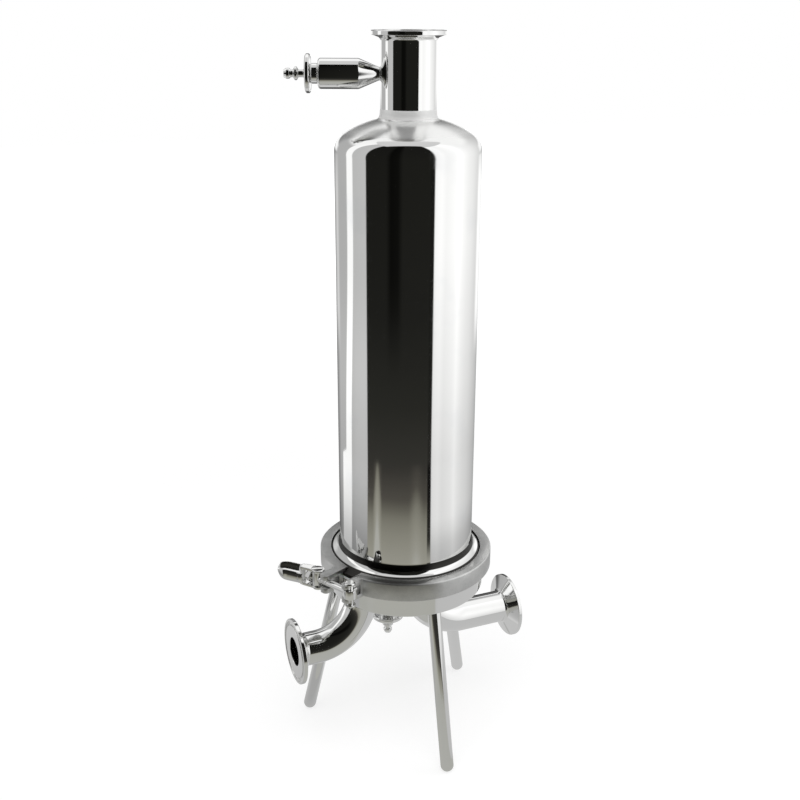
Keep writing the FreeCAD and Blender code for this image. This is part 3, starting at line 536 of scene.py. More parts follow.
seal = {
    "white": (0.86, 0.86, 0.84, 1.0),
    "dusty": (0.76, 0.76, 0.73, 1.0),
    "cloudNoise": (70.0, 3.0),
    "dustNoise": (900.0, 2.0),
    "dustRange": (0.55, 0.8),
    "dustDepth": 0.00001,
    "toneShares": (0.6, 0.4),  # of clouds and dust
    "roughness": (0.38, 0.15, 0.1),  # at least, and more in clouds and dust
    "glow": 0.15,
    "glowDepth": 0.002,
}


def siliconeWhite(name):
    material, spot = startMaterial(name)
    clouds = spot.noise(*seal["cloudNoise"])
    dust = spot.noise(*seal["dustNoise"]).between(*seal["dustRange"])
    (cloudy, dusty), (least, clouded, dusted) = seal["toneShares"], seal["roughness"]
    tone = (clouds * cloudy + dust * dusty).blend(seal["white"], seal["dusty"])
    return surface(material, tone, 0.0, clouds * clouded + dust * dusted + least, dust.bumped(seal["dustDepth"]),
                   {"Subsurface Weight": seal["glow"], "Subsurface Scale": seal["glowDepth"]})


cartridge = {
    "plastic": ((0.90, 0.90, 0.88, 1.0), (0.82, 0.82, 0.79, 1.0)),
    "plasticFlow": (40.0, 40.0, 260.0),
    "flowNoise": (1.0, 3.0, 0.55),
    "plasticGrain": (1800.0, 1.0),
    "plasticDepth": 0.00001,
    "plasticRoughness": (0.34, 0.2),  # at least, and more along the flow
    "paper": ((0.92, 0.91, 0.87, 1.0), (0.80, 0.79, 0.74, 1.0)),
    "paperFibres": (1500.0, 1500.0, 300.0),
    "fibreNoise": (1.0, 4.0, 0.7),
    "paperClouds": (50.0, 2.0),
    "paperDepth": 0.00005,
    "paperRoughness": (0.75, 0.2),  # at least, and more on fibres
    "paperShares": (0.6, 0.4),  # of fibres and clouds in its tone
}


def mouldedPlastic(name):  # polypropylene with faint flow lines
    material, spot = startMaterial(name)
    flow = spot.stretched(cartridge["plasticFlow"]).noise(*cartridge["flowNoise"])
    grain = spot.noise(*cartridge["plasticGrain"])
    least, more = cartridge["plasticRoughness"]
    return surface(material, flow.blend(*cartridge["plastic"]), 0.0, flow * more + least,
                   grain.bumped(cartridge["plasticDepth"]))


def filterPaper(name):  # non-woven sheet
    material, spot = startMaterial(name)
    fibres = spot.stretched(cartridge["paperFibres"]).noise(*cartridge["fibreNoise"])
    clouds = spot.noise(*cartridge["paperClouds"])
    (fibrous, cloudy), (least, more) = cartridge["paperShares"], cartridge["paperRoughness"]
    tone = (fibres * fibrous + clouds * cloudy).blend(*cartridge["paper"])
    return surface(material, tone, 0.0, fibres * more + least, fibres.bumped(cartridge["paperDepth"]))


ventAxis = Vector(joints["vent_spindle_travel"]["axis"]).normalized()
portAxis = Vector((1, 0, 0))
leverAxis = Vector((0.3, 0.9, 0.1)).normalized()
steelShell = polishedSteel("polishedShell")
steelHead = polishedSteel("polishedHead", dressed=dressedHead)
# the flange carries a dark ring at the barrel's foot and painted shade under the clamp's lip
steelFlange = polishedSteel("polishedFlange", darkRingAndLipShade=flangeDarkRingAndLipShade)
steelPort = polishedSteel("polishedPort", portAxis)
steelValve = polishedSteel("polishedValve", ventAxis)
steelLever = polishedSteel("polishedLever", leverAxis, 0.06)
steelLatch = polishedSteel("polishedLatch", roughness=0.07)
steelWeld = polishedSteel("dressedWeld", roughness=0.24, dressed=dressedWeld)
castClamp = castSteel("castClamp")
weldBead = weldSteel("weldBead")
silicone = siliconeWhite("siliconeSeal")
plastic = mouldedPlastic("cartridgePlastic")
paper = filterPaper("filterPaper")
print("materials made")


# Mesh tools, all in millimetres until the mesh is finished
arcSteps = 7
supportReach = 0.25  # keeps flat and straight faces true next to a rounded corner
sharpEdge = 32.0  # degrees
sideShare = 0.48  # of a side, for one corner's rounding at most


def softOutline(corners):  # a closed loop of (across, up, corner radius)
    points = []
    for index, (across, up, radius) in enumerate(corners):
        here = Vector((across, up))
        back = Vector(corners[index - 1][:2]) - here
        ahead = Vector(corners[(index + 1) % len(corners)][:2]) - here
        bend = back.angle(ahead)
        if radius <= 0 or math.pi - bend < 0.01:
            points.append(here)
            continue
        reach = min(radius / math.tan(bend / 2), sideShare * min(back.length, ahead.length))
        radius = reach * math.tan(bend / 2)
        middle = here + (back.normalized() + ahead.normalized()).normalized() * radius / math.sin(bend / 2)
        first = here + back.normalized() * reach - middle
        last = here + ahead.normalized() * reach - middle
        whole = math.pi - bend
        for step in range(arcSteps + 1):
            share = step / arcSteps
            points.append(middle + (first * math.sin((1 - share) * whole)
                                    + last * math.sin(share * whole)) / math.sin(whole))
    return supported(points)


def supported(points):
    spaced = []
    for here, following in zip(points, points[1:] + points[:1]):
        spaced.append(here)
        span = (following - here).length
        if span > 4 * supportReach:
            spaced.append(here.lerp(following, supportReach / span))
            spaced.append(here.lerp(following, 1 - supportReach / span))
    return spaced


def arc(across, up, radius, start, end, steps):
    angles = [start + (end - start) * step / steps for step in range(steps + 1)]
    return [Vector((across + radius * math.cos(a), up + radius * math.sin(a))) for a in angles]


def tubeOutline(bore, radius, start, end):
    return softOutline([(bore, start, 0), (radius, start, 0), (radius, end, 0), (bore, end, 0)])


def joinRings(work, pairs):  # a ring of one point is a pole
    for ring, following in pairs:
        steps = max(len(ring), len(following))
        for index in range(steps):
            after = (index + 1) % steps
            face = [ring[index % len(ring)], ring[after % len(ring)],
                    following[after % len(following)], following[index % len(following)]]
            face = list(dict.fromkeys(face))
            if len(face) > 2:
                work.faces.new(face)
    bmesh.ops.recalc_face_normals(work, faces=work.faces)
    return work


def lathed(outline, steps):
    work = bmesh.new()
    rings = []
    for across, up in outline:
        if across < 1e-6:
            rings.append([work.verts.new((0, 0, up))])
        else:
            rings.append([work.verts.new((across * math.cos(a), across * math.sin(a), up))
                          for a in ringAngles(steps)])
    return joinRings(work, zip(rings, rings[1:] + rings[:1]))


def sweptTube(frames, outer, inner, steps):  # frames are (centre, across, aside) along the path
    work = bmesh.new()
    walls = [[[work.verts.new(centre + (across * math.cos(a) + aside * math.sin(a)) * radius)
               for a in ringAngles(steps)] for centre, across, aside in frames] for radius in (outer, inner)]
    rings = walls[0] + walls[1][::-1]
    return joinRings(work, zip(rings, rings[1:] + rings[:1]))


def meshFrom(name, work):
    mesh = bpy.data.meshes.new(name)
    work.to_mesh(mesh)
    work.free()
    return mesh


def finished(name, work, material, place=Matrix(), sharp=sharpEdge):
    mesh = meshFrom(name, work)
    mesh.transform(place)
    mesh.transform(Matrix.Scale(millimetre, 4))
    return asPiece(name, mesh, material, sharp)


def smoothed(mesh, sharp):
    mesh.shade_smooth()
    mesh.set_sharp_from_angle(angle=math.radians(sharp))


def asPiece(name, mesh, material, sharp=sharpEdge):
    mesh.materials.clear()
    mesh.materials.append(material)
    smoothed(mesh, sharp)
    return inScene(name, mesh)


def frozen(piece, sharp=sharpEdge):  # modifiers become plain mesh
    bpy.context.view_layer.update()
    shaped = piece.evaluated_get(bpy.context.evaluated_depsgraph_get())
    mesh = bpy.data.meshes.new_from_object(shaped)
    piece.modifiers.clear()
    piece.data = mesh
    smoothed(mesh, sharp)
    return piece


def dress(piece, node):  # the piece stands for this node and moves with its body
    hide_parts(node)
    return extra(piece, node)


def extra(piece, neighbour):  # detail on a piece that a node already gives
    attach(piece, bodyOf[neighbour])
    return piece


def turned(name, node, outline, steps, material, place=Matrix()):  # a lathed piece for a node
    return dress(finished(name, lathed(outline, steps), material, place), node)


def boxOf(node):  # lowest and highest corner in millimetres
    low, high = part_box(node)
    return low / millimetre, high / millimetre


def inMillimetres(spot):
    return Vector(spot) / millimetre


def axisPlace(direction, start):  # turns +Z to a direction and starts there
    return Matrix.Translation(start) @ direction.to_track_quat("Z", "Y").to_matrix().to_4x4()


# Shell: barrel, domed head and neck, polished through their welds
shell = {
    "wall": 2.0,
    "neckWall": 1.65,
    "knuckleShare": 0.138,  # of the shell's diameter
    "crownShare": 0.837,
    "headLift": 1.0,
    "neckFillet": 4.8,
    "weldTop": 0.6,  # weld at the foot of the neck, from its seam
    "weldFoot": 5.6,
    "weldRise": 0.35,
    "weldSkin": 0.01,
    "weldSunk": 0.3,
    "steps": 256,
    "neckSteps": 192,
    "arcSteps": 24,
    "filletSteps": 16,
}
neckRadius = -boxOf("neck_tube")[0].y
baseBottom = boxOf("leg_front")[1].z


def headOutline(radius, knuckle, crown, neck, fillet, base, top):
    rim = radius - knuckle
    lean = math.asin(rim / (crown - knuckle))  # where the knuckle meets the crown, from the axis
    crownBase = base - (crown - knuckle) * math.cos(lean)
    filletCentre = neck + fillet
    filletLean = math.asin(filletCentre / (crown + fillet))
    filletHeight = crownBase + (crown + fillet) * math.cos(filletLean)
    quarter, steps = math.pi / 2, shell["arcSteps"]
    points = arc(rim, base, knuckle, 0, quarter - lean, steps)
    points += arc(0, crownBase, crown, quarter - lean, quarter - filletLean, steps)[1:]
    points += arc(filletCentre, filletHeight, fillet, 3 * quarter - filletLean, math.pi, shell["filletSteps"])[1:]
    return points + [Vector((neck, top))]


def makeShell():
    low, high = boxOf("barrel_tube")
    radius, wall, thin = high.x, shell["wall"], shell["neckWall"]
    barrel = tubeOutline(radius - wall, radius, low.z, high.z)
    turned("shellBarrel", "barrel_tube", barrel, shell["steps"], steelShell)

    seam = boxOf("dome_head")[1].z
    knuckle, crown = 2 * radius * shell["knuckleShare"], 2 * radius * shell["crownShare"]

    def headWall(inset, neckInset):
        return [Vector((radius - inset, high.z))] + headOutline(
            radius - inset, knuckle - inset, crown - inset, neckRadius - neckInset,
            shell["neckFillet"] + neckInset, high.z + shell["headLift"], seam)

    outside, inside = headWall(0, 0), headWall(wall, thin)
    turned("shellHead", "dome_head", outside + inside[::-1], shell["steps"], steelHead)
    makeNeckWeld(outside, seam)
    neck = tubeOutline(neckRadius - thin, neckRadius, seam, boxOf("top_ferrule")[0].z)
    turned("shellNeck", "neck_tube", neck, shell["neckSteps"], steelShell)


def makeNeckWeld(outside, seam):  # ground to satin, it runs from the neck into the fillet
    strip = [Vector((neckRadius, seam + shell["weldTop"]))]
    strip += [point for point in reversed(outside) if point.y > seam - shell["weldFoot"]]
    proud = []
    for index, point in enumerate(strip):
        along = strip[min(index + 1, len(strip) - 1)] - strip[max(index - 1, 0)]
        share = (strip[0].y - point.y) / (strip[0].y - strip[-1].y)
        lift = shell["weldRise"] * math.sin(math.pi * share) ** 0.5 + shell["weldSkin"]
        proud.append(point + Vector((-along.y, along.x)).normalized() * lift)
    hidden = [point - Vector((shell["weldSunk"], 0)) for point in reversed(strip)]
    extra(finished("neckWeld", lathed(proud + hidden, shell["steps"]), steelWeld, sharp=60.0), "dome_head")


makeShell()
print("shell made")

# Clamp ferrules on the neck and both ports, and the ports' pipes
ferrule = {
    "rim": 2.85,
    "slope": math.tan(math.radians(20)),
    "fillet": 2.5,
    "edge": 0.5,
    "boreEdge": 0.4,
    "grooveRadius": 21.8,
    "grooveWidth": 3.0,
    "grooveDepth": 1.5,
    "grooveFloor": 1.2,
    "grooveEdge": 0.2,
}
pipe = {"radius": 12.7, "wall": 1.65, "bend": 38.1, "bendSteps": 40, "steps": 128, "elbowSteps": 96}


def ferruleOutline(tube, bore, length, radius):
    neckEnd = length - ferrule["rim"] - (radius - tube) * ferrule["slope"]
    inner, outer = (ferrule["grooveRadius"] + side * ferrule["grooveWidth"] / 2 for side in (-1, 1))
    bed, edge, soft, deep = (length - ferrule["grooveDepth"], ferrule["edge"], ferrule["grooveEdge"],
                             ferrule["grooveFloor"])
    return softOutline([
        (bore, 0, 0), (tube, 0, 0), (tube, neckEnd, ferrule["fillet"]),
        (radius, length - ferrule["rim"], edge), (radius, length, edge), (outer, length, soft), (outer, bed, deep),
        (inner, bed, deep), (inner, length, soft), (bore, length, ferrule["boreEdge"])])


def makePorts():
    low, high = boxOf("top_ferrule")
    top = ferruleOutline(neckRadius, neckRadius - shell["neckWall"], high.z - low.z, high.x)
    turned("topFerrule", "top_ferrule", top, shell["neckSteps"], steelShell, Matrix.Translation((0, 0, low.z)))
    port = mounts["outlet_face"]["pos_m"][2] / millimetre
    radius, bend, bore = pipe["radius"], pipe["bend"], pipe["radius"] - pipe["wall"]
    for side, prefix in ((-1, "inlet"), (1, "outlet")):
        low, high = boxOf(prefix + "_ferrule")
        outline = ferruleOutline(radius, bore, high.x - low.x, (high.y - low.y) / 2)
        start = Vector((high.x if side < 0 else low.x, 0, port))
        turned(prefix + "Ferrule", prefix + "_ferrule", outline, pipe["steps"], steelPort,
               axisPlace(portAxis * side, start))

        low, high = boxOf(prefix + "_elbow")
        middle = (high.x if side < 0 else low.x) + side * radius
        centre = Vector((middle + side * bend, 0, port + bend))
        aside = Vector((0, -side, 0))
        frames = [(Vector((middle, 0, high.z)), Vector((-side, 0, 0)), aside)]
        for step in range(pipe["bendSteps"] + 1):
            angle = math.pi / 2 * step / pipe["bendSteps"]
            across = Vector((-side * math.cos(angle), 0, -math.sin(angle)))
            frames.append((centre + across * bend, across, aside))
        elbow = sweptTube(frames, radius, bore, pipe["elbowSteps"])
        dress(finished(prefix + "Elbow", elbow, steelPort), prefix + "_elbow")
    low, high = boxOf("outlet_pipe")
    turned("outletPipe", "outlet_pipe", tubeOutline(bore, radius, 0, high.x - low.x), pipe["steps"], steelPort,
           axisPlace(portAxis, Vector((low.x, 0, port))))


makePorts()
print("ports made")

# Closure: shell flange above, base plate below, legs under it
closure = {
    "rimThickness": 2.85,
    "slope": math.tan(math.radians(20)),
    "lipRadius": 58.2,  # inside the clamp's lip the flange rises faster
    "crownSlope": math.tan(math.radians(33)),
    "sweepShare": 0.47,  # of the bevel, taken by the sweep up to the barrel
    "sweepSteps": 16,
    "grooveWidth": 3.2,
    "grooveDepth": 1.2,
    "grooveEdge": 0.2,
    "grooveRoot": 0.3,
    "gasketGap": 0.1,  # under the gasket in the base's groove
    "edge": 0.45,
    "softEdge": 0.4,
    "waist": 57.0,  # radius under the clamp
    "clampTail": 0.3,  # from the clamp down to where the plate widens
    "plateRadius": 59.8,
    "plateEdge": 1.2,
    "plateHoles": ((-37.0, 0.0, 11.05), (10.0, 0.0, 11.05), (-3.0, 29.0, 2.0)),  # x, y, radius
    "drill": (24, 96),  # length and steps
    "sumpFloor": 8.0,
    "sumpFillet": 1.5,
    "socketRadius": 22.25,
    "socketWall": 1.9,
    "socketFloor": 5.0,
    "socketEdge": 0.5,
    "legRadius": 5.0,
    "legSteps": 96,
    "legTopCircle": 51.0,
    "footSink": 4.7,
    "footSteps": 24,
}


def makeClosure():
    low, high = boxOf("shell_flange")
    rim, tube = high.x, boxOf("barrel_tube")[1].x
    bore = tube - shell["wall"]
    near, far = ((bore + rim) / 2 + side * closure["grooveWidth"] / 2 for side in (-1, 1))
    edge, soft, thick, deep = (closure[name] for name in ("edge", "softEdge", "rimThickness", "grooveDepth"))
    brink, root = closure["grooveEdge"], closure["grooveRoot"]
    lip, slope, sweep = closure["lipRadius"], closure["slope"], closure["sweepShare"]
    bend = low.z + thick + (rim - lip) * slope
    foot = bend + (lip - tube) * closure["crownSlope"]
    seam, turn, edgeOn = Vector((tube, high.z)), Vector((tube, foot)), Vector((lip, bend))
    shares = [1 - step / closure["sweepSteps"] for step in range(closure["sweepSteps"] + 1)]
    flare = [(*seam.lerp(turn, t).lerp(turn.lerp(edgeOn, t * sweep), t), 0) for t in shares]
    flange = softOutline([
        (bore, low.z, 0), (near, low.z, brink), (near, low.z + deep, root), (far, low.z + deep, root),
        (far, low.z, brink), (rim, low.z, edge), (rim, low.z + thick, edge), (lip, bend, soft),
        *flare, (bore, high.z, 0)])
    turned("shellFlange", "shell_flange", flange, shell["steps"], steelFlange)

    face = boxOf("body_gasket")[0].z + deep - closure["gasketGap"]
    tail = boxOf("clamp_half_right")[0].z - closure["clampTail"]
    waist, plate, socket = closure["waist"], closure["plateRadius"], closure["socketRadius"]
    wall, fillet, socketTop = socket + closure["socketWall"], closure["sumpFillet"], boxOf("base_plate")[1].z
    sump, bed = baseBottom + closure["sumpFloor"], baseBottom + closure["socketFloor"]
    outline = softOutline([
        (0, baseBottom, 0), (plate, baseBottom, closure["plateEdge"]), (plate, tail, edge), (waist, tail, soft),
        (waist, face - thick - (rim - waist) * slope, soft), (rim, face - thick, edge), (rim, face, edge),
        (far, face, brink), (far, face - deep, root), (near, face - deep, root), (near, face, brink),
        (bore, face, root), (bore, sump, fillet), (wall, sump, fillet), (wall, socketTop, root),
        (socket, socketTop, closure["socketEdge"]), (socket, bed, closure["socketEdge"]), (0, bed, 0)])
    piece = finished("basePlate", lathed(outline, shell["steps"]), steelShell)
    drill(piece)
    dress(piece, "base_plate")


def drill(piece):
    work = bmesh.new()
    length, steps = closure["drill"]
    for across, along, radius in closure["plateHoles"]:
        bmesh.ops.create_cone(work, cap_ends=True, segments=steps, radius1=radius, radius2=radius,
                              depth=length, matrix=Matrix.Translation((across, along, baseBottom)))
    cutter = finished("plateCutter", work, steelShell)
    cut = piece.modifiers.new("holes", "BOOLEAN")
    cut.operation = "DIFFERENCE"
    cut.object = cutter
    cut.solver = "EXACT"
    frozen(piece)
    bpy.data.objects.remove(cutter)


def legFeet():  # name and foot of each leg, and the way from its foot to the middle of its top
    for name in ("front", "right", "left"):
        foot = inMillimetres(mounts["foot_" + name]["pos_m"])
        yield name, foot, foot.normalized() * closure["legTopCircle"] + upward * baseBottom - foot


def makeLegs():
    radius = closure["legRadius"]
    for name, foot, way in legFeet():
        start = foot + upward * closure["footSink"]
        axis = way.normalized()
        length = (baseBottom - start.z) / axis.z
        ball = arc(0, 0, radius, -math.pi / 2, 0, closure["footSteps"])
        work = lathed(ball + [Vector((radius, length)), Vector((0, length))], closure["legSteps"])
        place = axisPlace(axis, start)
        for point in work.verts:
            atTop = point.co.z > length - 0.01
            point.co = place @ point.co
            if atTop:  # cut level with the base plate
                point.co += axis * (baseBottom - point.co.z) / axis.z
            point.co.z = max(point.co.z, 0.0)
        dress(finished("leg." + name, work, steelShell), "leg_" + name)


makeClosure()
makeLegs()
print("closure and legs made")


# Geometry Nodes trees for what repeats
def growTree(name, **sizes):  # with a named input for each size
    tree = bpy.data.node_groups.new(name, "GeometryNodeTree")
    tree.interface.new_socket("Geometry", in_out="OUTPUT", socket_type="NodeSocketGeometry")
    for label, kind in sizes.items():
        tree.interface.new_socket(label, in_out="INPUT", socket_type="NodeSocket" + kind)
    start = tree.nodes.new("NodeGroupInput")
    return tree, {socket.name: Wire(tree, socket) for socket in start.outputs if socket.name}


def closeTree(tree, shape, material):
    real = shape.another("GeometryNodeRealizeInstances", {}, {0: shape})
    painted = real.another("GeometryNodeSetMaterial", {}, {"Geometry": real, "Material": material})
    tree.links.new(painted.socket, tree.nodes.new("NodeGroupOutput").inputs[0])
    return tree


def rippleTree():  # ripples of a weld, set round a circle
    tree, sizes = growTree("weldRipples", Radius="Float", Count="Int", Size="Vector", Spread="Float", Seed="Int",
                           Material="Material")
    circle = Wire.node(tree, "GeometryNodeMeshCircle", {}, {"Vertices": sizes["Count"], "Radius": sizes["Radius"]})
    spot = Wire.node(tree, "GeometryNodeInputPosition", {}, {})
    facing = spot.another("FunctionNodeAlignRotationToVector", {"axis": "X", "pivot_axis": "Z"}, {"Vector": spot})
    spread = Wire.node(tree, "FunctionNodeRandomValue", {"data_type": "FLOAT"},
                       {2: 1 - sizes["Spread"], 3: 1 + sizes["Spread"], "Seed": sizes["Seed"]}, 1)
    scale = spread.another("ShaderNodeVectorMath", {"operation": "SCALE"}, {0: sizes["Size"], "Scale": spread})
    ripple = Wire.node(tree, "GeometryNodeMeshUVSphere", {}, {"Segments": 12, "Rings": 8, "Radius": 1.0})
    placed = circle.another("GeometryNodeInstanceOnPoints", {},
                            {"Points": circle, "Instance": ripple, "Rotation": facing, "Scale": scale})
    return closeTree(tree, placed, sizes["Material"])


def threadTree():
    tree, sizes = growTree("screwThread", Radius="Float", Pitch="Float", Turns="Float", Depth="Float",
                           Material="Material")
    path = Wire.node(tree, "GeometryNodeCurveSpiral", {},
                     {"Resolution": 48, "Rotations": sizes["Turns"], "Start Radius": sizes["Radius"],
                      "End Radius": sizes["Radius"], "Height": sizes["Turns"] * sizes["Pitch"]})
    ridge = Wire.node(tree, "GeometryNodeCurvePrimitiveCircle", {}, {"Resolution": 6, "Radius": sizes["Depth"]})
    shape = path.another("GeometryNodeCurveToMesh", {}, {"Curve": path, "Profile Curve": ridge, "Fill Caps": True})
    return closeTree(tree, shape, sizes["Material"])


def grown(name, tree, values, place):
    piece = inScene(name, bpy.data.meshes.new(name))
    grow = piece.modifiers.new("grow", "NODES")
    grow.node_group = tree
    for socket in tree.interface.items_tree:
        if socket.in_out == "INPUT":
            grow[socket.identifier] = values[socket.name]
    frozen(piece, 50.0)
    piece.data.transform(Matrix.Scale(millimetre, 4) @ place)
    return piece


# Vent and drain valves. An outline's corners are radius, station from the weld and rounding.
valve = {
    "body": ((0, -0.6, 0), (4, -0.6, 0), (4, 0, 0.3), (10, 14.5, 1.6), (10, 41.7, 1.8),
             (5.1, 41.7, 0.3), (5.1, 35.7, 0), (0, 35.7, 0)),
    "spindle": (
        (0, 36.1, 0), (5, 36.1, 0.2), (5, 42.05, 0), (6.6, 42.05, 0.5), (6.6, 46.45, 0.7),  # stem and collar
        (3.6, 46.45, 0.2), (3.6, 50.55, 0.3), (2.5, 51.7, 0.6), (2.5, 54.8, 0.4),  # neck and barb
        (4.4, 55.95, 0.5), (4.4, 57.35, 0.5), (2.5, 58.5, 0.4), (2.5, 59.9, 0.4),  # bead
        (3.5, 61.05, 0.5), (3.5, 62.75, 0.6), (2.5, 64.75, 0.3),  # tip
        (1.6, 64.75, 0.3), (1.6, 52.75, 0), (0, 52.75, 0)),  # bore
    "knob": ((3.65, 46.6, 0.2), (5.6, 46.6, 0.4), (6.6, 47.1, 0.6), (10.6, 47.1, 0.8), (11.6, 46.6, 0.9),
             (12.8, 47.5, 0.7), (12.8, 49.5, 0.7), (11.6, 50.4, 0.9), (10.6, 49.9, 0.8), (6.6, 49.9, 0.6),
             (5.6, 50.4, 0.4), (3.65, 50.4, 0.2)),
    "pieces": (("body", "ValveBody", "_valve_body", 144), ("spindle", "Spindle", "_spindle", 96),
               ("knob", "Knob", "_knob", 168)),  # outline, name, node and steps
    "root": 4.0,
}
ventRoot = ventAxis * neckRadius + upward * mounts["vent_barb"]["pos_m"][2] / millimetre
drainRoot = Vector((*closure["plateHoles"][2][:2], baseBottom))


def makeValves():
    for prefix, direction, root in (("vent", ventAxis, ventRoot), ("drain", -upward, drainRoot)):
        for outline, suffix, node, steps in valve["pieces"]:
            turned(prefix + suffix, prefix + node, softOutline(valve[outline]), steps, steelValve,
                   axisPlace(direction, root))


weld = {"step": 1.0, "size": (0.75, 0.85, 0.7), "spread": 0.07, "seed": 4, "outset": 0.1, "ventSunk": 0.25}


def makeWelds():
    ripples = rippleTree()
    spots = []  # name, radius, direction, centre
    for name, (across, along, _) in zip(("inletWeld", "outletWeld"), closure["plateHoles"]):
        spots.append((name, pipe["radius"], upward, Vector((across, along, baseBottom))))
    spots.append(("drainWeld", valve["root"], upward, drainRoot))
    spots += [("legWeld." + name, closure["legRadius"], upward, foot + way) for name, foot, way in legFeet()]
    spots.append(("ventWeld", valve["root"], ventAxis, ventRoot - ventAxis * weld["ventSunk"]))
    for name, radius, direction, centre in spots:
        values = {"Radius": radius + weld["outset"], "Count": round(2 * math.pi * radius / weld["step"]),
                  "Size": weld["size"], "Spread": weld["spread"], "Seed": weld["seed"], "Material": weldBead}
        extra(grown(name, ripples, values, axisPlace(direction, centre)), "base_plate")


makeValves()
makeWelds()
print("valves and welds made")

# Clamp and latch
latch = {
    "castBevel": 0.45,
    "smallBevel": 0.2,
    "bevelSteps": 3,
    "bevelAngle": 38,
    "threadRadius": 2.82,
    "threadPitch": 1.0,
    "threadStart": 12.5,  # from the cross barrel's middle towards the eye
    "threadEnd": 41.8,  # from the eye's middle
    "threadDepth": 0.28,
    "leverTurn": 17.7,  # handle, outwards from the clamp's tangent
    "forkEnd": 13.6,
    "spoonStart": 11.7,
    "spoonEnd": 33.9,
    "spoonRound": 3.2,
    "spoonThin": 0.35,  # of its thickness, left at the tip
    "spoonSections": 60,
    "spoonPoints": 96,
    "squareness": 2.8,
    "voxel": 0.21,
    "tumbling": (0.5, 8),  # factor and rounds of smoothing
}
# half height, face and back of the spoon by station along the handle
spoonHeights = ((10.0, 7.5), (16.0, 7.6), (22.0, 7.7), (27.0, 7.4), (31.0, 6.1), (33.0, 4.2))
spoonFaces = ((10.0, 3.0), (13.0, 2.6), (17.0, 2.1), (24.0, 2.0), (29.0, 2.1), (34.0, 1.1))
spoonBacks = ((10.0, -3.1), (13.0, -2.9), (19.0, -2.8), (25.0, -2.5), (30.0, -1.8), (34.0, -0.9))
# how far the face stands out along the height, and how strongly by station
foldProfile = ((-1.0, 0.6), (-0.9, 1.1), (-0.73, 1.25), (0.18, 0.25), (0.34, -1.45), (0.88, -2.05), (1.0, -2.25))
foldReach = ((10.0, 0.55), (15.0, 1.0), (27.0, 1.0), (32.0, 0.3), (34.0, 0.1))


def eased(table, station):
    if station <= table[0][0]:
        return table[0][1]
    for (start, first), (end, last) in zip(table, table[1:]):
        if station <= end:
            share = (station - start) / (end - start)
            return first + (last - first) * share * share * (3 - 2 * share)
    return table[-1][1]


def curved(table, station):  # a smooth curve through every point of the table
    points = [table[0], *table, table[-1]]
    last = len(points) - 3
    for index in range(1, last + 1):
        before, start, end, after = points[index - 1:index + 3]
        if station <= end[0] or index == last:
            span = end[0] - start[0]
            share = min(max((station - start[0]) / span, 0), 1)
            slopeStart = (end[1] - before[1]) / max(end[0] - before[0], 1e-6) * span
            slopeEnd = (after[1] - start[1]) / max(after[0] - start[0], 1e-6) * span
            square, cube = share ** 2, share ** 3
            return ((2 * cube - 3 * square + 1) * start[1] + (cube - 2 * square + share) * slopeStart
                    + (3 * square - 2 * cube) * end[1] + (cube - square) * slopeEnd)


def rootOf(value, power):  # keeps the sign
    return math.copysign(abs(value) ** power, value)


def spoon():
    work = bmesh.new()
    rings = []
    power = 2 / latch["squareness"]
    start, tip, thin = latch["spoonStart"], latch["spoonEnd"], latch["spoonThin"]
    for section in range(latch["spoonSections"]):
        station = start + (tip - start) * math.sin(section / latch["spoonSections"] * math.pi / 2)
        past = max(0.0, (station - tip) / latch["spoonRound"] + 1)
        taper = math.sqrt(max(0.0, 1 - past ** 2))
        half = curved(spoonHeights, min(station, spoonHeights[-1][0])) * taper
        face, back = curved(spoonFaces, station), curved(spoonBacks, station)
        middle, thick = (face + back) / 2, (face - back) / 2 * (thin + (1 - thin) * taper)
        ring = []
        for angle in ringAngles(latch["spoonPoints"]):
            up, out = rootOf(math.sin(angle), power), rootOf(math.cos(angle), power)
            fold = curved(foldProfile, up) * max(out, 0) ** 0.5 * eased(foldReach, station)
            ring.append(work.verts.new((station, middle + thick * out + fold, half * up)))
        rings.append(ring)
    rings.append([work.verts.new((tip, (curved(spoonFaces, tip) + curved(spoonBacks, tip)) / 2, 0))])
    work.faces.new(rings[0])
    return joinRings(work, zip(rings, rings[1:]))


def mergedCopy(node):  # a node's own shape as one welded mesh, metres
    work = bmesh.new()
    work.from_mesh(frame["nodes"][node].data)
    bmesh.ops.remove_doubles(work, verts=work.verts, dist=0.000002)
    bmesh.ops.dissolve_limit(work, angle_limit=math.radians(0.6), verts=work.verts, edges=work.edges)
    return work


def casting(node, name, material, bevel):
    piece = asPiece(name, meshFrom(name, mergedCopy(node)), material)
    rounding = piece.modifiers.new("edges", "BEVEL")
    rounding.width = bevel * millimetre
    rounding.segments = latch["bevelSteps"]
    rounding.limit_method = "ANGLE"
    rounding.angle_limit = math.radians(latch["bevelAngle"])
    rounding.use_clamp_overlap = True
    return dress(frozen(piece), node)


hingeSpot = inMillimetres(joints["eye_bolt_swing"]["pos_m"])
pivotSpot = inMillimetres(joints["latch_lever_turn"]["pos_m"])
boltWay = (hingeSpot - pivotSpot).normalized()


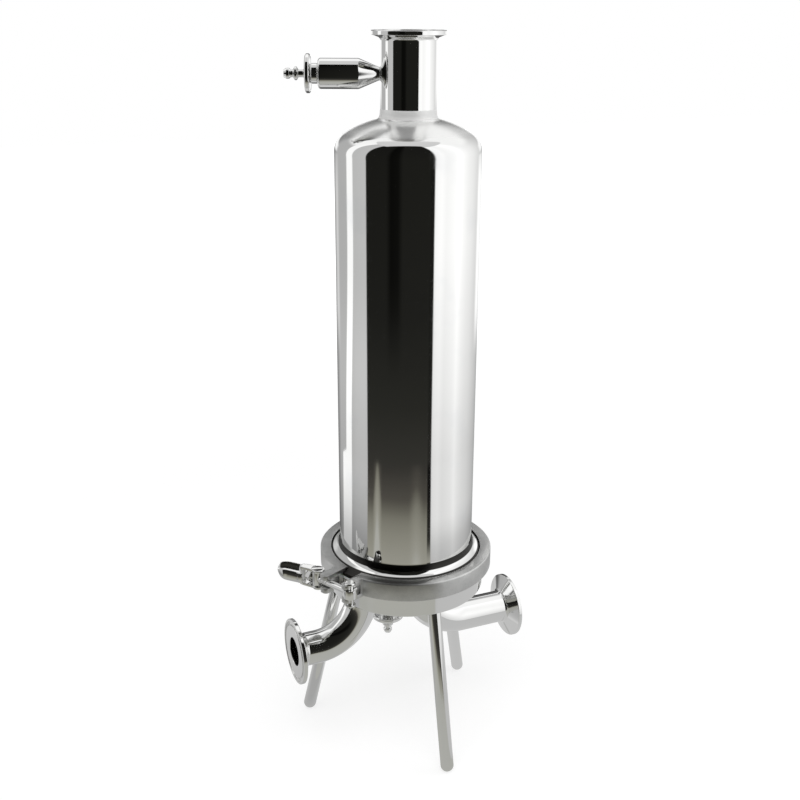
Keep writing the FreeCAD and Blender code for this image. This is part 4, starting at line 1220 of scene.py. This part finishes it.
def makeLever():
    angle = math.atan2(-boltWay.y, -boltWay.x) + math.radians(latch["leverTurn"])
    place = Matrix.Translation(pivotSpot) @ Matrix.Rotation(angle, 4, "Z")
    fork = mergedCopy("latch_lever")
    bmesh.ops.transform(fork, matrix=place.inverted() @ Matrix.Scale(1 / millimetre, 4), verts=fork.verts)
    bmesh.ops.bisect_plane(fork, geom=fork.verts[:] + fork.edges[:] + fork.faces[:], dist=0.0001,
                           plane_co=(latch["forkEnd"], 0, 0), plane_no=(1, 0, 0), clear_outer=True)
    bmesh.ops.holes_fill(fork, edges=[edge for edge in fork.edges if edge.is_boundary])
    blade = spoon()
    blade.from_mesh(meshFrom("leverFork", fork))
    piece = finished("latchLever", blade, steelLever, place)
    shape = piece.modifiers.new("cast", "REMESH")
    shape.mode = "VOXEL"
    shape.voxel_size = latch["voxel"] * millimetre
    smooth = piece.modifiers.new("tumbled", "SMOOTH")
    smooth.factor, smooth.iterations = latch["tumbling"]
    dress(frozen(piece, 60.0), "latch_lever")


def makeThread():
    start = pivotSpot + boltWay * latch["threadStart"]
    length = latch["threadEnd"] - (hingeSpot - pivotSpot).length + latch["threadStart"]
    values = {"Radius": latch["threadRadius"], "Pitch": latch["threadPitch"], "Depth": latch["threadDepth"],
              "Turns": length / latch["threadPitch"], "Material": steelLatch}
    extra(grown("boltThread", threadTree(), values, axisPlace(-boltWay, start)), "eye_bolt")


casting("clamp_half_right", "clampRight", castClamp, latch["castBevel"])
casting("clamp_half_left", "clampLeft", castClamp, latch["castBevel"])
for node, name in (("clamp_hinge_pin", "hingePin"), ("eye_bolt_pin", "boltPin"), ("eye_bolt", "eyeBolt"),
                   ("cross_barrel", "crossBarrel"), ("adjusting_nut", "adjustingNut")):
    casting(node, name, steelLatch, latch["smallBevel"])
makeLever()
makeThread()
print("clamp and latch made")

# Nodes that keep their own shape
keptFinish = (
    (silicone, ("body_gasket", "vent_seal", "drain_seal", "spigot_o_rings")),
    (plastic, ("cartridge_foot_cap", "cartridge_core", "cartridge_cage", "cartridge_top_cap")),
    (paper, ("pleated_medium",)),
)
for material, nodes in keptFinish:
    for node in nodes:
        for holder in frame["nodes"][node].material_slots:
            holder.material = material
print("seals and cartridge finished")
